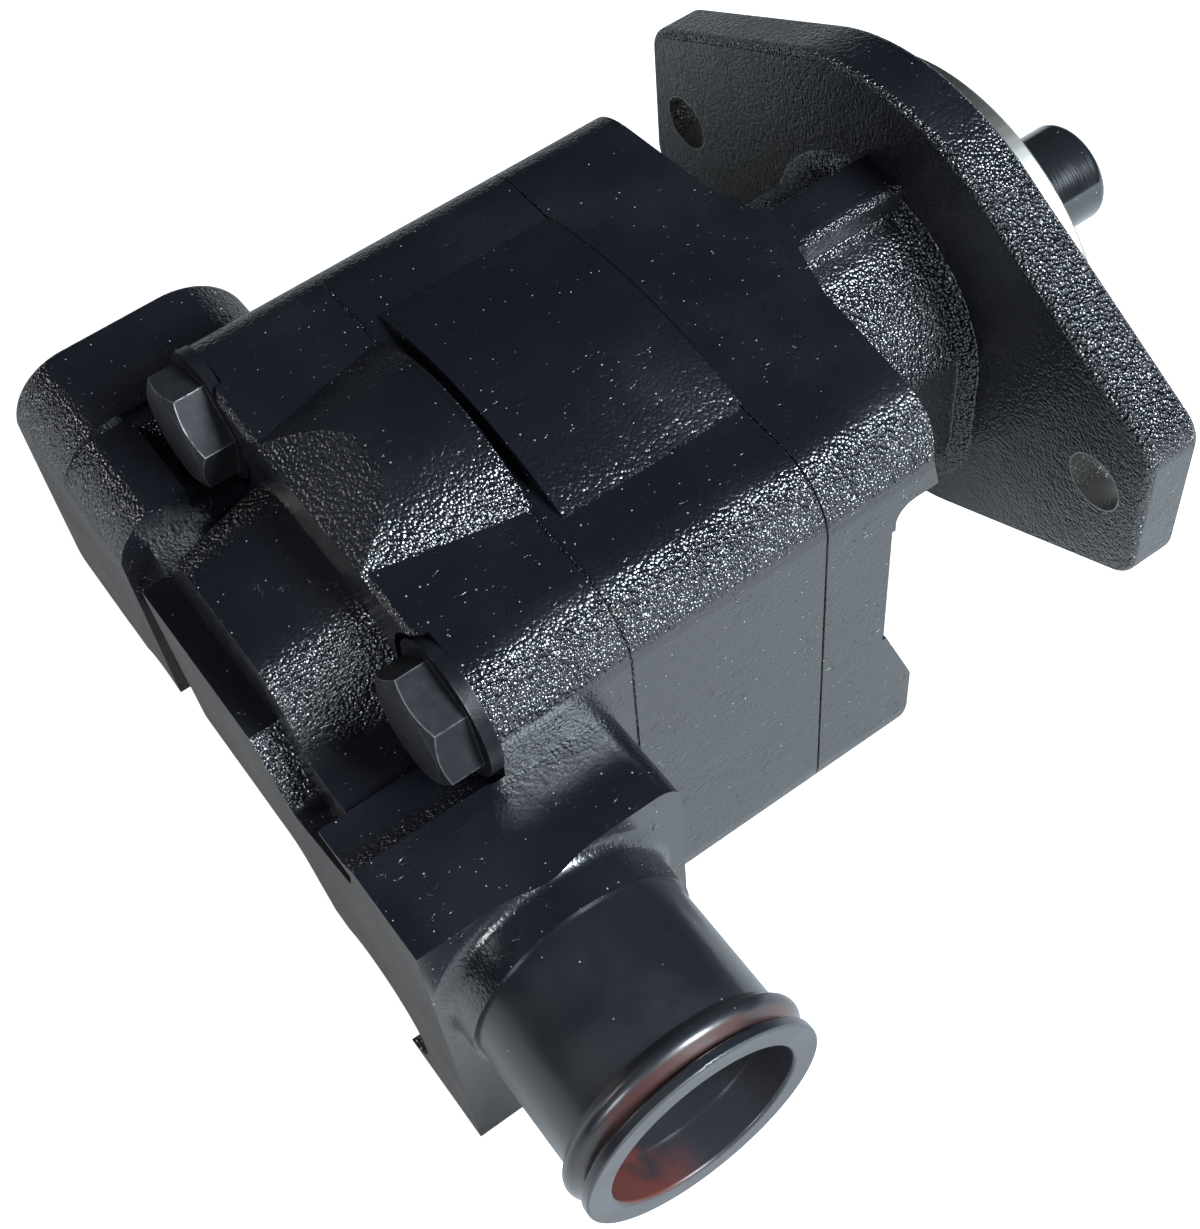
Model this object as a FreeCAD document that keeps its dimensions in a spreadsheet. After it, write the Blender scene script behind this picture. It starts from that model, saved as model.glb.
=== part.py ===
import FreeCAD, Part
import math
import os
from types import SimpleNamespace

import Sketcher
from FreeCAD import Placement, Rotation, Vector

os.makedirs("parts", exist_ok=True)
doc = FreeCAD.newDocument("GearPump")

# Driving dimensions in millimetres and degrees
# Frame: +X along the drive shaft and out of its end, +Z up, the hose stub points along -Y,
# and the origin is on the shaft axis in the front face of the mounting flange.
DRIVING = [
    ("centre_distance", 44.4, "from the drive shaft axis down to the driven gear axis"),
    ("casting_half_width", 62, "half the width of the three castings"),
    ("casting_half_height", 62.2, "half their height, about the middle between the gears"),
    ("casting_corner", 15.5, "corner radius of the castings"),
    ("flange_thickness", 14, "mounting flange"),
    ("flange_radius", 61.5, "round middle of the mounting flange"),
    ("ear_margin", 14, "from a flange hole to the end of its ear"),
    ("ear_half_height", 21.4, "half the height of an ear at its end"),
    ("ear_corner", 8.5, "corner radius of an ear"),
    ("flange_edge", 2.2, "rounding of the flange edges"),
    ("flange_hole_spacing", 146, "two-bolt pattern, hole to hole"),
    ("flange_hole", 14.3, "hole diameter in the flange"),
    ("pilot_radius", 50.8, "pilot that centres the pump"),
    ("pilot_height", 9.7, "how far the pilot stands out"),
    ("neck_radius", 32.5, "top and sides of the neck between flange and plate"),
    ("neck_drop", 21, "from the shaft axis down to the centre of the neck's round bottom"),
    ("neck_length", 47.5, "free length of the neck"),
    ("neck_cove", 4, "hollow rounding between neck and flange"),
    ("end_plate", 18.5, "thickness of the plate of the shaft end cover"),
    ("edge_rounding", 2.5, "cast outer edges"),
    ("plate_rounding", 1.5, "front edge of the plate of the shaft end cover"),
    ("boss_height", 10.5, "corner bosses in front of the plate"),
    ("boss_edge", 3, "rounding of the corner bosses"),
    ("boss_inside", 32, "from the shaft plane to the inner side of a corner boss"),
    ("boss_top", 26, "from the bottom of the casting up to the full height of a boss"),
    ("boss_ramp", 28, "from its full height up to the end of its slope"),
    ("block_height", 18, "top block in front of the plate, at its nose"),
    ("block_waist", 14, "the same beside the nose"),
    ("block_side", 10.5, "the same at its two sides"),
    ("block_draft", 8, "slope of the front of the top block, in degrees"),
    ("block_bottom", 18.5, "height of the underside of the top block above the shaft axis"),
    ("block_cove", 5, "hollow rounding under the top block"),
    ("block_nose", 7, "half width of the nose of the top block"),
    ("rib_half_width", 7, "rib from the top block to the flange"),
    ("rib_cove", 3, "hollow rounding between rib and neck"),
    ("bearing_boss", 21, "radius of the boss round the front driven journal"),
    ("housing_length", 50, "gear housing between its two joint faces"),
    ("seam_bevel", 0.6, "bevel along the joint faces"),
    ("barrel_radius", 105, "curved pad on top of the housing"),
    ("barrel_rise", 6.2, "height of that pad above the housing"),
    ("barrel_half_width", 34, "half its width"),
    ("barrel_length", 45.2, "its length from the front joint face"),
    ("band_width", 2, "raised band of the housing in front of the crown"),
    ("rear_flange", 34.5, "thickness of the bolting flange of the port end cover"),
    ("crown_front", 49, "radius of the crown of the port end cover in front"),
    ("crown_rear", 45, "the same at the rear"),
    ("crown_angle", 40, "half the angle that the crown spans"),
    ("crown_bevel", 9.6, "length of the bevel behind the crown"),
    ("crown_bevel_rise", 4, "its rise over that length"),
    ("port_body", 31.5, "length of the port body behind the bolting flange"),
    ("ledge_height", 4.5, "top of the rear ledge above the shaft axis"),
    ("ledge_depth", 7.2, "depth of the ledge behind the drum"),
    ("web_bottom", -38, "underside of the web between the two port blocks"),
    ("web_left", 21, "from the shaft plane to the lower left end of the web"),
    ("web_lean", 9, "how far its left side leans out towards the top"),
    ("scoop_depth", 15, "hollow in the ledge beside the inlet block"),
    ("rear_slope", 2.6, "how far the rear wall leans forward at the bottom"),
    ("drum_radius", 28, "height of the drum above the shaft axis at the bolting flange"),
    ("drum_half_width", 33, "half the width of the drum there"),
    ("drum_taper", 14, "taper of the drum towards the rear, in degrees"),
    ("inlet_reach", 82.6, "from the shaft plane to the face of the inlet block"),
    ("inlet_top", 12, "top of the inlet block above the shaft axis"),
    ("block_front_gap", 4, "from the rear joint face back to the port blocks"),
    ("inlet_height", -14.5, "height of the inlet axis"),
    ("inlet_setback", 36.6, "from the rear joint face back to the inlet axis"),
    ("collar_radius", 26.3, "collar round the hose stub"),
    ("collar_reach", 92.6, "from the shaft plane to the end of the collar"),
    ("collar_flare", 3, "hollow rounding between collar and block"),
    ("outlet_reach", 94, "from the shaft plane to the outlet face"),
    ("outlet_top", 16, "top of the outlet boss above the shaft axis"),
    ("outlet_bottom", -58, "bottom of the outlet boss"),
    ("outlet_front_corner", 20, "its upper front corner"),
    ("outlet_rear_corner", 16, "its upper rear corner"),
    ("outlet_low_corner", 8, "its two lower corners"),
    ("outlet_step", 67, "from the shaft plane to the step round the outlet boss"),
    ("outlet_bore", 20.2, "radius of the outlet thread"),
    ("outlet_depth", 25, "depth of the outlet thread"),
    ("outlet_passage", 10, "radius of the passage behind it"),
    ("outlet_spotface", 27, "radius of the machined face round the outlet"),
    ("passage_bore", 8, "radius of the flow passages beside the gears"),
    ("passage_offset", 21, "their distance from the shaft plane"),
    ("screw_half_spacing", 47, "half the spacing of the cap screws across"),
    ("screw_half_rise", 46.2, "half their spacing up and down"),
    ("screw_radius", 7.94, "shank of a cap screw"),
    ("screw_hole", 8.6, "radius of the clearance holes"),
    ("screw_length", 101.6, "cap screw under its head"),
    ("head_across_flats", 23.8, "hexagon head"),
    ("head_height", 9, "hexagon head"),
    ("washer_radius", 15.9, "washer"),
    ("washer_thickness", 3, "washer"),
    ("spotface_radius", 17.5, "recess for a washer"),
    ("spotface_depth", 3.4, "its depth in the bolting flange"),
    ("spotface_back", 12, "room behind the upper heads"),
    ("gear_teeth", 12, "teeth on each gear"),
    ("gear_module", 3.7, "pitch diameter over teeth"),
    ("pressure_angle", 25, "degrees"),
    ("backlash", 0.15, "play between the teeth on the pitch circle"),
    ("tip_clearance", 0.05, "gear tip to housing bore"),
    ("side_clearance", 0.05, "gear side to thrust plate"),
    ("plate_thickness", 6, "thrust plate"),
    ("shaft_radius", 12.7, "free end of the drive shaft"),
    ("journal_radius", 14, "journals and seal surface"),
    ("shaft_step", 2.5, "from the seal to the step down to the free end"),
    ("shaft_reach", 48, "shaft end in front of the flange face"),
    ("shaft_end_rounding", 2.2, "rounded end of the shaft"),
    ("journal_clearance", 0.05, "running clearance of the journals and the seal lip"),
    ("bushing_radius", 16.5, "outer radius of a journal bushing"),
    ("bushing_length", 24, "journal bushing"),
    ("bushing_room", 1, "space behind each bushing"),
    ("seal_radius", 21, "outer radius of the shaft seal"),
    ("seal_width", 8, "shaft seal"),
    ("seal_setback", 5.5, "from the pilot face back to the seal"),
    ("ring_thickness", 1.8, "retaining ring in front of the seal"),
    ("ring_groove", 1.2, "depth of its groove"),
    ("body_seal_offset", 31, "from the gear axes to the inside of a body seal"),
    ("body_seal_width", 3, "body seal"),
    ("body_seal_depth", 2, "body seal"),
    ("plate_play", 0.5, "room round a journal in a thrust plate and in the neck"),
    ("plate_seal_radius", 17, "inside radius of a plate seal"),
    ("plate_seal_width", 2.5, "plate seal"),
    ("plate_seal_depth", 1.5, "plate seal"),
    ("dowel_radius", 4, "dowel pin"),
    ("dowel_length", 15, "dowel pin, half in each casting"),
    ("dowel_offset", 50, "from the shaft plane to a dowel"),
    ("dowel_rise", 20, "from the middle between the gears to a dowel"),
    ("key_width", 6.35, "square key of the shaft"),
    ("key_length", 32, "its length"),
    ("key_setback", 3, "from the shaft end to the key"),
    ("stub_radius", 25.4, "tube of the hose stub"),
    ("stub_reach", 131.9, "from the shaft plane to the mouth of the stub"),
    ("mouth_radius", 21.5, "inside of the mouth"),
    ("mouth_depth", 9, "from the mouth to the step inside"),
    ("stub_bore", 20.6, "inside of the stub behind the step"),
    ("lip_radius", 27.4, "flat lip at the mouth"),
    ("lip_thickness", 2.4, "flat lip at the mouth"),
    ("bead_radius", 3.4, "rolled bead behind the lip, as a half round"),
    ("bead_height", 2.5, "how far the bead stands above the tube"),
    ("spigot_radius", 23, "end of the stub inside the collar"),
    ("spigot_length", 26, "its length"),
    ("inlet_passage", 13, "radius of the inlet passage behind the spigot"),
    ("o_ring_section", 0.9, "radius of the section of the inlet o-ring"),
]


class Size:
    """A dimension: its value, and the formula that ties it to the sheet."""

    def __init__(self, value, formula):
        self.value = value
        self.formula = formula

    def combined(self, other, sign, value):
        return Size(value, f"({self.formula} {sign} {as_size(other).formula})")

    def __add__(self, other):
        return self.combined(other, "+", self.value + as_size(other).value)

    def __sub__(self, other):
        return self.combined(other, "-", self.value - as_size(other).value)

    def __mul__(self, other):
        return self.combined(other, "*", self.value * as_size(other).value)

    def __truediv__(self, other):
        return self.combined(other, "/", self.value / as_size(other).value)

    def __neg__(self):
        return as_size(0) - self


def as_size(amount):
    return amount if isinstance(amount, Size) else Size(float(amount), str(amount))


def root_of(size):
    return Size(math.sqrt(size.value), f"sqrt({size.formula})")


def arc_sine(size):
    return Size(math.degrees(math.asin(size.value)), f"asin({size.formula})")


sheet = doc.addObject("Spreadsheet::Sheet", "Sizes")
d = SimpleNamespace()
for row, (alias, amount, meaning) in enumerate(DRIVING, start=1):
    sheet.set(f"A{row}", meaning)
    sheet.set(f"B{row}", str(amount))
    sheet.setAlias(f"B{row}", alias)
    setattr(d, alias, Size(float(amount), f"Sizes.{alias}"))
doc.recompute()

# Places along the shaft, from the flange face to the rear wall
flange_back = -d.flange_thickness
plate_front = flange_back - d.neck_length
front_seam = plate_front - d.end_plate
rear_seam = front_seam - d.housing_length
cover_back = rear_seam - d.rear_flange
rear_wall = cover_back - d.port_body
washer_seat = cover_back + d.spotface_depth
head_seat = washer_seat - d.washer_thickness

# Places across the shaft
middle = -d.centre_distance / 2
casting_top = middle + d.casting_half_height
casting_bottom = middle - d.casting_half_height
gear_axes = [as_size(0), -d.centre_distance]
screw_places = [
    (side * d.screw_half_spacing.value, d.screw_half_spacing * side, middle + d.screw_half_rise * up)
    for up in (1, -1)
    for side in (1, -1)
]
dowel_places = [(d.dowel_offset * side, middle + d.dowel_rise * side) for side in (1, -1)]

# Gear and bore radii
pitch_radius = d.centre_distance / 2
tip_radius = pitch_radius + d.gear_module
gear_bore = tip_radius + d.tip_clearance
gear_front = front_seam - d.plate_thickness - d.side_clearance
gear_back = rear_seam + d.plate_thickness + d.side_clearance
gear_width = gear_front - gear_back
shaft_back = rear_seam - d.bushing_length
inlet_axis_x = rear_seam - d.inlet_setback
block_front = rear_seam - d.block_front_gap
flange_reach = d.flange_hole_spacing / 2 + d.ear_margin
crown_inside = d.crown_rear - 9


# Sketch and feature helpers


def new_body(label):
    body = doc.addObject("PartDesign::Body", label)
    body.Label = label
    return body


def sketch_on(body, name, plane, along=0, right=0, up=0):
    """A sketch on an origin plane of the body, moved along its normal, right and up."""
    sketch = body.newObject("Sketcher::SketchObject", f"{body.Label}_{name}_sketch")
    support = next(item for item in body.Origin.OriginFeatures if item.Role == plane)
    sketch.AttachmentSupport = [(support, "")]
    sketch.MapMode = "FlatFace"
    for letter, amount in zip("xyz", (right, up, along)):
        sketch.setExpression(f".AttachmentOffset.Base.{letter}", as_size(amount).formula)
    return sketch


def dimension(sketch, kind, where, size):
    """A dimension of the sketch that follows the sheet."""
    index = sketch.addConstraint(Sketcher.Constraint(kind, *where, as_size(size).value))
    sketch.setExpression(f"Constraints[{index}]", as_size(size).formula)


def place(sketch, where, right, up):
    dimension(sketch, "DistanceX", where, right)
    dimension(sketch, "DistanceY", where, up)


def circle(sketch, right, up, radius):
    centre = Vector(as_size(right).value, as_size(up).value, 0)
    item = sketch.addGeometry(Part.Circle(centre, Vector(0, 0, 1), as_size(radius).value), False)
    place(sketch, (item, 3), right, up)
    dimension(sketch, "Radius", (item,), radius)


def outline(sketch, corners):
    """A closed outline through the corners, each (right, up) or (right, up, rounding)."""
    spots = [Vector(as_size(c[0]).value, as_size(c[1]).value, 0) for c in corners]
    roundings = [c[2] if len(c) > 2 else None for c in corners]
    count = len(corners)
    starts = []
    ends = []
    for i, spot in enumerate(spots):
        before = (spots[i - 1] - spot).normalize()
        after = (spots[(i + 1) % count] - spot).normalize()
        trim = 0
        if roundings[i] is not None:
            half_angle = before.getAngle(after) / 2
            trim = as_size(roundings[i]).value / math.tan(half_angle)
        ends.append(spot + before * trim)
        starts.append(spot + after * trim)
    lines = [
        sketch.addGeometry(Part.LineSegment(starts[i], ends[(i + 1) % count]), False)
        for i in range(count)
    ]
    for i, spot in enumerate(spots):
        arriving = lines[i - 1]
        leaving = lines[i]
        if roundings[i] is None:
            sketch.addConstraint(Sketcher.Constraint("Coincident", arriving, 2, leaving, 1))
            place(sketch, (leaving, 1), corners[i][0], corners[i][1])
            continue
        size = as_size(roundings[i])
        to_start = (ends[i] - spot).normalize()
        to_end = (starts[i] - spot).normalize()
        reach = size.value / math.sin(to_start.getAngle(to_end) / 2)
        hub = spot + (to_start + to_end).normalize() * reach
        nearest = hub + (spot - hub).normalize() * size.value
        turns_left = to_start.cross(to_end).z < 0
        first, last = (ends[i], starts[i]) if turns_left else (starts[i], ends[i])
        arc = sketch.addGeometry(Part.Arc(first, nearest, last), False)
        arc_first, arc_last = (1, 2) if turns_left else (2, 1)
        corner = sketch.addGeometry(Part.Point(spot), True)
        sketch.addConstraint(Sketcher.Constraint("Tangent", arriving, 2, arc, arc_first))
        sketch.addConstraint(Sketcher.Constraint("Tangent", arc, arc_last, leaving, 1))
        dimension(sketch, "Radius", (arc,), size)
        place(sketch, (corner, 1), corners[i][0], corners[i][1])
        sketch.addConstraint(Sketcher.Constraint("PointOnObject", corner, 1, arriving))
        sketch.addConstraint(Sketcher.Constraint("PointOnObject", corner, 1, leaving))


def rectangle(sketch, left, right, bottom, top, rounding=None):
    extra = () if rounding is None else (rounding,)
    corners = [(left, bottom), (right, bottom), (right, top), (left, top)]
    outline(sketch, [corner + extra for corner in corners])


def racetrack(sketch, radius, low=gear_axes[1]):
    """Two half circles, one round the shaft axis and one below it, joined by straight sides."""
    size = as_size(radius)
    up = Vector(0, 0, 1)
    upper_circle = Part.Circle(Vector(0, 0, 0), up, size.value)
    lower_circle = Part.Circle(Vector(0, low.value, 0), up, size.value)
    upper = sketch.addGeometry(Part.ArcOfCircle(upper_circle, 0, math.pi), False)
    lower = sketch.addGeometry(Part.ArcOfCircle(lower_circle, math.pi, 2 * math.pi), False)
    left = sketch.addGeometry(
        Part.LineSegment(Vector(-size.value, 0, 0), Vector(-size.value, low.value, 0)), False)
    right = sketch.addGeometry(
        Part.LineSegment(Vector(size.value, low.value, 0), Vector(size.value, 0, 0)), False)
    sketch.addConstraint(Sketcher.Constraint("Tangent", upper, 2, left, 1))
    sketch.addConstraint(Sketcher.Constraint("Tangent", left, 2, lower, 1))
    sketch.addConstraint(Sketcher.Constraint("Tangent", lower, 2, right, 1))
    sketch.addConstraint(Sketcher.Constraint("Tangent", right, 2, upper, 1))
    place(sketch, (upper, 3), 0, 0)
    place(sketch, (lower, 3), 0, low)
    dimension(sketch, "Radius", (upper,), size)


def extrude(body, kind, sketch, length, against=False, taper=None, both_ways=False):
    """A pad or pocket along the normal of its sketch, or against it."""
    feature = body.newObject(f"PartDesign::{kind}", sketch.Label.replace("_sketch", ""))
    feature.Profile = sketch
    feature.setExpression("Length", as_size(length).formula)
    feature.Reversed = against if kind == "Pad" else not against
    feature.Midplane = both_ways
    if taper is not None:
        feature.setExpression("TaperAngle", as_size(taper).formula)
    body.Tip = feature
    return feature


def turn(body, sketch, axis, angle=360, both_ways=False):
    feature = body.newObject("PartDesign::Revolution", sketch.Label.replace("_sketch", ""))
    feature.Profile = sketch
    feature.ReferenceAxis = (sketch, [axis])
    feature.setExpression("Angle", as_size(angle).formula)
    feature.Midplane = both_ways
    body.Tip = feature
    return feature


def soften(body, base, size, chosen, kind="Fillet"):
    """Round or bevel the edges of the base feature that pass the test."""
    doc.recompute()
    names = [f"Edge{i}" for i, edge in enumerate(base.Shape.Edges, start=1) if chosen(edge)]
    feature = body.newObject(f"PartDesign::{kind}", f"{base.Label}_{kind.lower()}")
    feature.Base = (base, names)
    feature.setExpression("Radius" if kind == "Fillet" else "Size", as_size(size).formula)
    body.Tip = feature
    return feature


def lies_at(x):
    """A test for edges that lie in the plane across the shaft at x."""
    def test(edge):
        box = edge.BoundBox
        return abs(box.XMin - x.value) < 1e-4 and abs(box.XMax - x.value) < 1e-4
    return test


def holes(body, name, places, radius, x, length, against=False):
    """Round holes along the shaft direction that start in the plane at x."""
    sketch = sketch_on(body, name, "YZ_Plane", along=x)
    for right, up in places:
        circle(sketch, right, up, radius)
    return extrude(body, "Pocket", sketch, length, against=against)


def casting_outline(sketch):
    rectangle(sketch, -d.casting_half_width, d.casting_half_width, casting_bottom, casting_top,
              d.casting_corner)


def trim_to_casting(body, name, x, length):
    """Cuts away what stands out beyond the outline of the castings, from x forwards."""
    sketch = sketch_on(body, name, "YZ_Plane", along=x)
    width = d.casting_half_width * 1.5
    rectangle(sketch, -width, width, casting_bottom - d.casting_corner,
              casting_top + d.casting_corner)
    casting_outline(sketch)
    extrude(body, "Pocket", sketch, length, against=False)


def ring(body, name, outer, inner, x, length, up=0):
    """A plain ring round the shaft direction."""
    sketch = sketch_on(body, name, "YZ_Plane", along=x)
    circle(sketch, 0, up, outer)
    circle(sketch, 0, up, inner)
    return extrude(body, "Pad", sketch, length)


def along_shaft(kind, name, x, y, z, towards_front=True):
    """A primitive whose own axis lies along the shaft direction."""
    item = doc.addObject(f"Part::{kind}", name)
    item.Placement = Placement(Vector(), Rotation(Vector(0, 1, 0), 90 if towards_front else -90))
    for letter, amount in zip("xyz", (x, y, z)):
        item.setExpression(f".Placement.Base.{letter}", as_size(amount).formula)
    return item


def combine(kind, name, pieces):
    item = doc.addObject(f"Part::{kind}", name)
    if kind in ("MultiFuse", "MultiCommon"):
        item.Shapes = pieces
    elif kind == "Compound":
        item.Links = pieces
    else:
        item.Base, item.Tool = pieces
    item.Label = name
    return item


upper_screws = [(y, z) for _, y, z in screw_places[:2]]
lower_screws = [(y, z) for _, y, z in screw_places[2:]]
all_screws = upper_screws + lower_screws
bushing_depth = d.bushing_length + d.bushing_room
dowel_depth = d.dowel_length / 2 + 0.5


def seam_features(body, name, seam, against):
    """What each cover has in its joint face: bushing bores, dowel holes and a seal groove."""
    bores = [(0, axis) for axis in gear_axes]
    holes(body, f"{name}_bushing_bores", bores, d.bushing_radius, seam, bushing_depth, against)
    holes(body, f"{name}_dowel_holes", dowel_places, d.dowel_radius, seam, dowel_depth, against)
    groove = sketch_on(body, f"{name}_seal_groove", "YZ_Plane", along=seam)
    racetrack(groove, d.body_seal_offset + d.body_seal_width)
    racetrack(groove, d.body_seal_offset)
    extrude(body, "Pocket", groove, d.body_seal_depth, against=against)


def flank_peak(reach, ear, radius):
    """Height at which a flank from the ear's corner meets the middle plane, when it just
    touches the round middle of the flange."""
    a = reach * reach - radius * radius
    b = ear * radius * radius
    c = radius * radius * (reach * reach + ear * ear)
    return (root_of(b * b + a * c) - b) / a


# Shaft end cover
# One iron casting: mounting flange with its pilot, a waisted neck, and the plate that closes the
# gear housing, with corner bosses for the cap screws, a swept top block and a rib to the flange.


def make_shaft_end_cover():
    body = new_body("shaft_end_cover")
    plate = sketch_on(body, "plate", "YZ_Plane", along=front_seam)
    casting_outline(plate)
    plate_pad = extrude(body, "Pad", plate, d.end_plate)
    soften(body, plate_pad, d.plate_rounding, lies_at(plate_front))

    # Side profiles, cut back to the outline of the casting afterwards
    root = plate_front - d.plate_rounding - 1
    width = d.casting_half_width
    block = sketch_on(body, "top_block", "XZ_Plane", along=-width)
    outline(block, [
        (root, casting_top),
        (root, d.block_bottom - d.block_cove * 1.5),
        (plate_front, d.block_bottom - d.block_cove * 1.5),
        (plate_front, d.block_bottom, d.block_cove),
        (plate_front + d.block_height + 2, d.block_bottom, 2),
        (plate_front + d.block_height + 2, casting_top),
    ])
    extrude(body, "Pad", block, width * 2)
    boss_front = plate_front + d.boss_height
    full = casting_bottom + d.boss_top
    for side, name in ((1, "boss_left"), (-1, "boss_right")):
        boss = sketch_on(body, name, "XZ_Plane", along=-d.boss_inside * side)
        outline(boss, [
            (root, casting_bottom),
            (boss_front, casting_bottom),
            (boss_front, full),
            (plate_front, full + d.boss_ramp),
            (root, full + d.boss_ramp),
        ])
        extrude(body, "Pad", boss, width - d.boss_inside, against=side > 0)
    trim_to_casting(body, "casting_trim", root, plate_front + d.block_height + 3 - root)
    soften(body, body.Tip, d.boss_edge, lies_at(boss_front))

    # The front of the block is swept back from a narrow nose and leans forward at the bottom.
    nose = plate_front + d.block_height
    clear = nose + 12
    for side, name in ((1, "sweep_left"), (-1, "sweep_right")):
        sweep = sketch_on(body, name, "XY_Plane", along=casting_top)
        outline(sweep, [
            (nose, d.block_nose * side),
            (plate_front + d.block_waist, d.block_nose * 3 * side, 10),
            (plate_front + d.block_side, (width - 2) * side, 6),
            (plate_front + d.block_side - 12, (width + 2) * side),
            (plate_front, (width + 12) * side),
            (clear, (width + 12) * side),
            (clear, d.block_nose * side),
        ])
        extrude(body, "Pocket", sweep, casting_top - d.block_bottom + 1, True, -d.block_draft)

    neck = sketch_on(body, "neck", "YZ_Plane", along=plate_front - 1)
    racetrack(neck, d.neck_radius, -d.neck_drop)
    extrude(body, "Pad", neck, d.neck_length + 2)

    flange = sketch_on(body, "flange", "YZ_Plane", along=flange_back)
    reach = flange_reach
    peak = flank_peak(reach, d.ear_half_height, d.flange_radius)
    outline(flange, [
        (reach, -d.ear_half_height, d.ear_corner),
        (reach, d.ear_half_height, d.ear_corner),
        (0, peak, d.flange_radius),
        (-reach, d.ear_half_height, d.ear_corner),
        (-reach, -d.ear_half_height, d.ear_corner),
        (0, -peak, d.flange_radius),
    ])
    flange_pad = extrude(body, "Pad", flange, d.flange_thickness)

    def neck_edge(edge):
        middle_of_edge = edge.CenterOfMass
        near = abs(middle_of_edge.y) < d.neck_radius.value + 1
        return near and abs(middle_of_edge.z) < d.flange_radius.value - 8

    def outer_edge(edge):
        at_face = lies_at(flange_back)(edge) or lies_at(as_size(0))(edge)
        return at_face and not neck_edge(edge)

    def cove_edge(edge):
        return lies_at(flange_back)(edge) and neck_edge(edge)

    cove = soften(body, flange_pad, d.neck_cove, cove_edge)
    soften(body, cove, d.flange_edge, outer_edge)

    rib_start = plate_front + d.block_side - 2
    rib = sketch_on(body, "rib", "YZ_Plane", along=rib_start)
    foot = d.rib_half_width + d.rib_cove * 3
    radius_squared = d.neck_radius * d.neck_radius
    foot_height = root_of(radius_squared - foot * foot)
    side_height = root_of(radius_squared - d.rib_half_width * d.rib_half_width)
    outline(rib, [
        (-foot, 0),
        (foot, 0),
        (foot, foot_height),
        (d.rib_half_width, side_height, d.rib_cove),
        (d.rib_half_width, casting_top, 2.5),
        (-d.rib_half_width, casting_top, 2.5),
        (-d.rib_half_width, side_height, d.rib_cove),
        (-foot, foot_height),
    ])
    extrude(body, "Pad", rib, flange_back + 2 - rib_start)

    boss = sketch_on(body, "bearing_boss", "YZ_Plane", along=plate_front - 1)
    circle(boss, 0, -d.centre_distance, d.bearing_boss)
    boss_pad = extrude(body, "Pad", boss, d.boss_height + 3)
    soften(body, boss_pad, d.boss_edge, lies_at(plate_front + d.boss_height + 2))

    pilot = sketch_on(body, "pilot", "YZ_Plane", along=-1)
    circle(pilot, 0, 0, d.pilot_radius)
    pilot_pad = extrude(body, "Pad", pilot, d.pilot_height + 1)
    soften(body, pilot_pad, 0.8, lies_at(d.pilot_height), "Chamfer")

    half_spacing = d.flange_hole_spacing / 2
    ear_places = [(half_spacing, 0), (-half_spacing, 0)]
    holes(body, "flange_holes", ear_places, d.flange_hole / 2, as_size(0),
          d.flange_thickness, against=True)

    seal_floor = d.pilot_height - d.seal_setback - d.seal_width
    holes(body, "seal_bore", [(0, 0)], d.seal_radius, d.pilot_height,
          d.seal_setback + d.seal_width, against=True)
    holes(body, "ring_groove", [(0, 0)], d.seal_radius + d.ring_groove,
          d.pilot_height - d.seal_setback + d.ring_thickness, d.ring_thickness, against=True)
    holes(body, "shaft_bore", [(0, 0)], d.journal_radius + d.plate_play, seal_floor,
          seal_floor - front_seam, against=True)
    seam_features(body, "front", front_seam, against=False)
    holes(body, "screw_threads", all_screws, d.screw_radius, front_seam,
          d.screw_length - (front_seam - head_seat) + 3)
    return body


# Gear housing
# The middle casting: a figure-8 bore for the two gears, flow chambers on both sides of the mesh,
# holes for screws and dowels, and a curved pad on top.


def make_gear_housing():
    body = new_body("gear_housing")
    block = sketch_on(body, "block", "YZ_Plane", along=rear_seam)
    casting_outline(block)
    block_pad = extrude(body, "Pad", block, d.housing_length)

    def seam_edge(edge):
        return lies_at(front_seam)(edge) or lies_at(rear_seam)(edge)

    soften(body, block_pad, d.seam_bevel, seam_edge, "Chamfer")

    crown = casting_top + d.barrel_rise
    pad = sketch_on(body, "barrel_pad", "XZ_Plane", up=crown - d.barrel_radius)
    rectangle(pad, front_seam - d.barrel_length, front_seam, d.barrel_radius - d.barrel_rise - 8,
              d.barrel_radius)
    turn(body, pad, "H_Axis", arc_sine(d.barrel_half_width / d.barrel_radius) * 2, True)
    band = sketch_on(body, "crown_band", "XZ_Plane")
    outline(band, [
        (rear_seam, crown_inside),
        (rear_seam + d.band_width, crown_inside),
        (rear_seam + d.band_width, d.crown_front, 1.2),
        (rear_seam, d.crown_front),
    ])
    turn(body, band, "H_Axis", d.crown_angle * 2, both_ways=True)

    gears = [(0, axis) for axis in gear_axes]
    for number, where in enumerate(gears):
        holes(body, f"gear_bore_{number}", [where], gear_bore, rear_seam, d.housing_length)
    sides = [(d.passage_offset * side, middle) for side in (1, -1)]
    for number, where in enumerate(sides):
        holes(body, f"flow_chamber_{number}", [where], d.passage_bore, rear_seam,
              d.housing_length)
    holes(body, "screw_holes", all_screws, d.screw_hole, rear_seam, d.housing_length)
    holes(body, "dowels_front", dowel_places, d.dowel_radius, front_seam, dowel_depth, True)
    holes(body, "dowels_rear", dowel_places, d.dowel_radius, rear_seam, dowel_depth)
    return body


# Port end cover
# The rear casting: bolting flange with a conical crown on top, a tapered drum behind it, the
# square inlet block with the collar for the hose stub, and the round-cornered outlet boss.


def inlet_block_outline(sketch):
    outline(sketch, [
        (rear_wall, casting_bottom),
        (block_front, casting_bottom, 4),
        (block_front, d.inlet_top, 6),
        (rear_wall, d.inlet_top),
    ])


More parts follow.
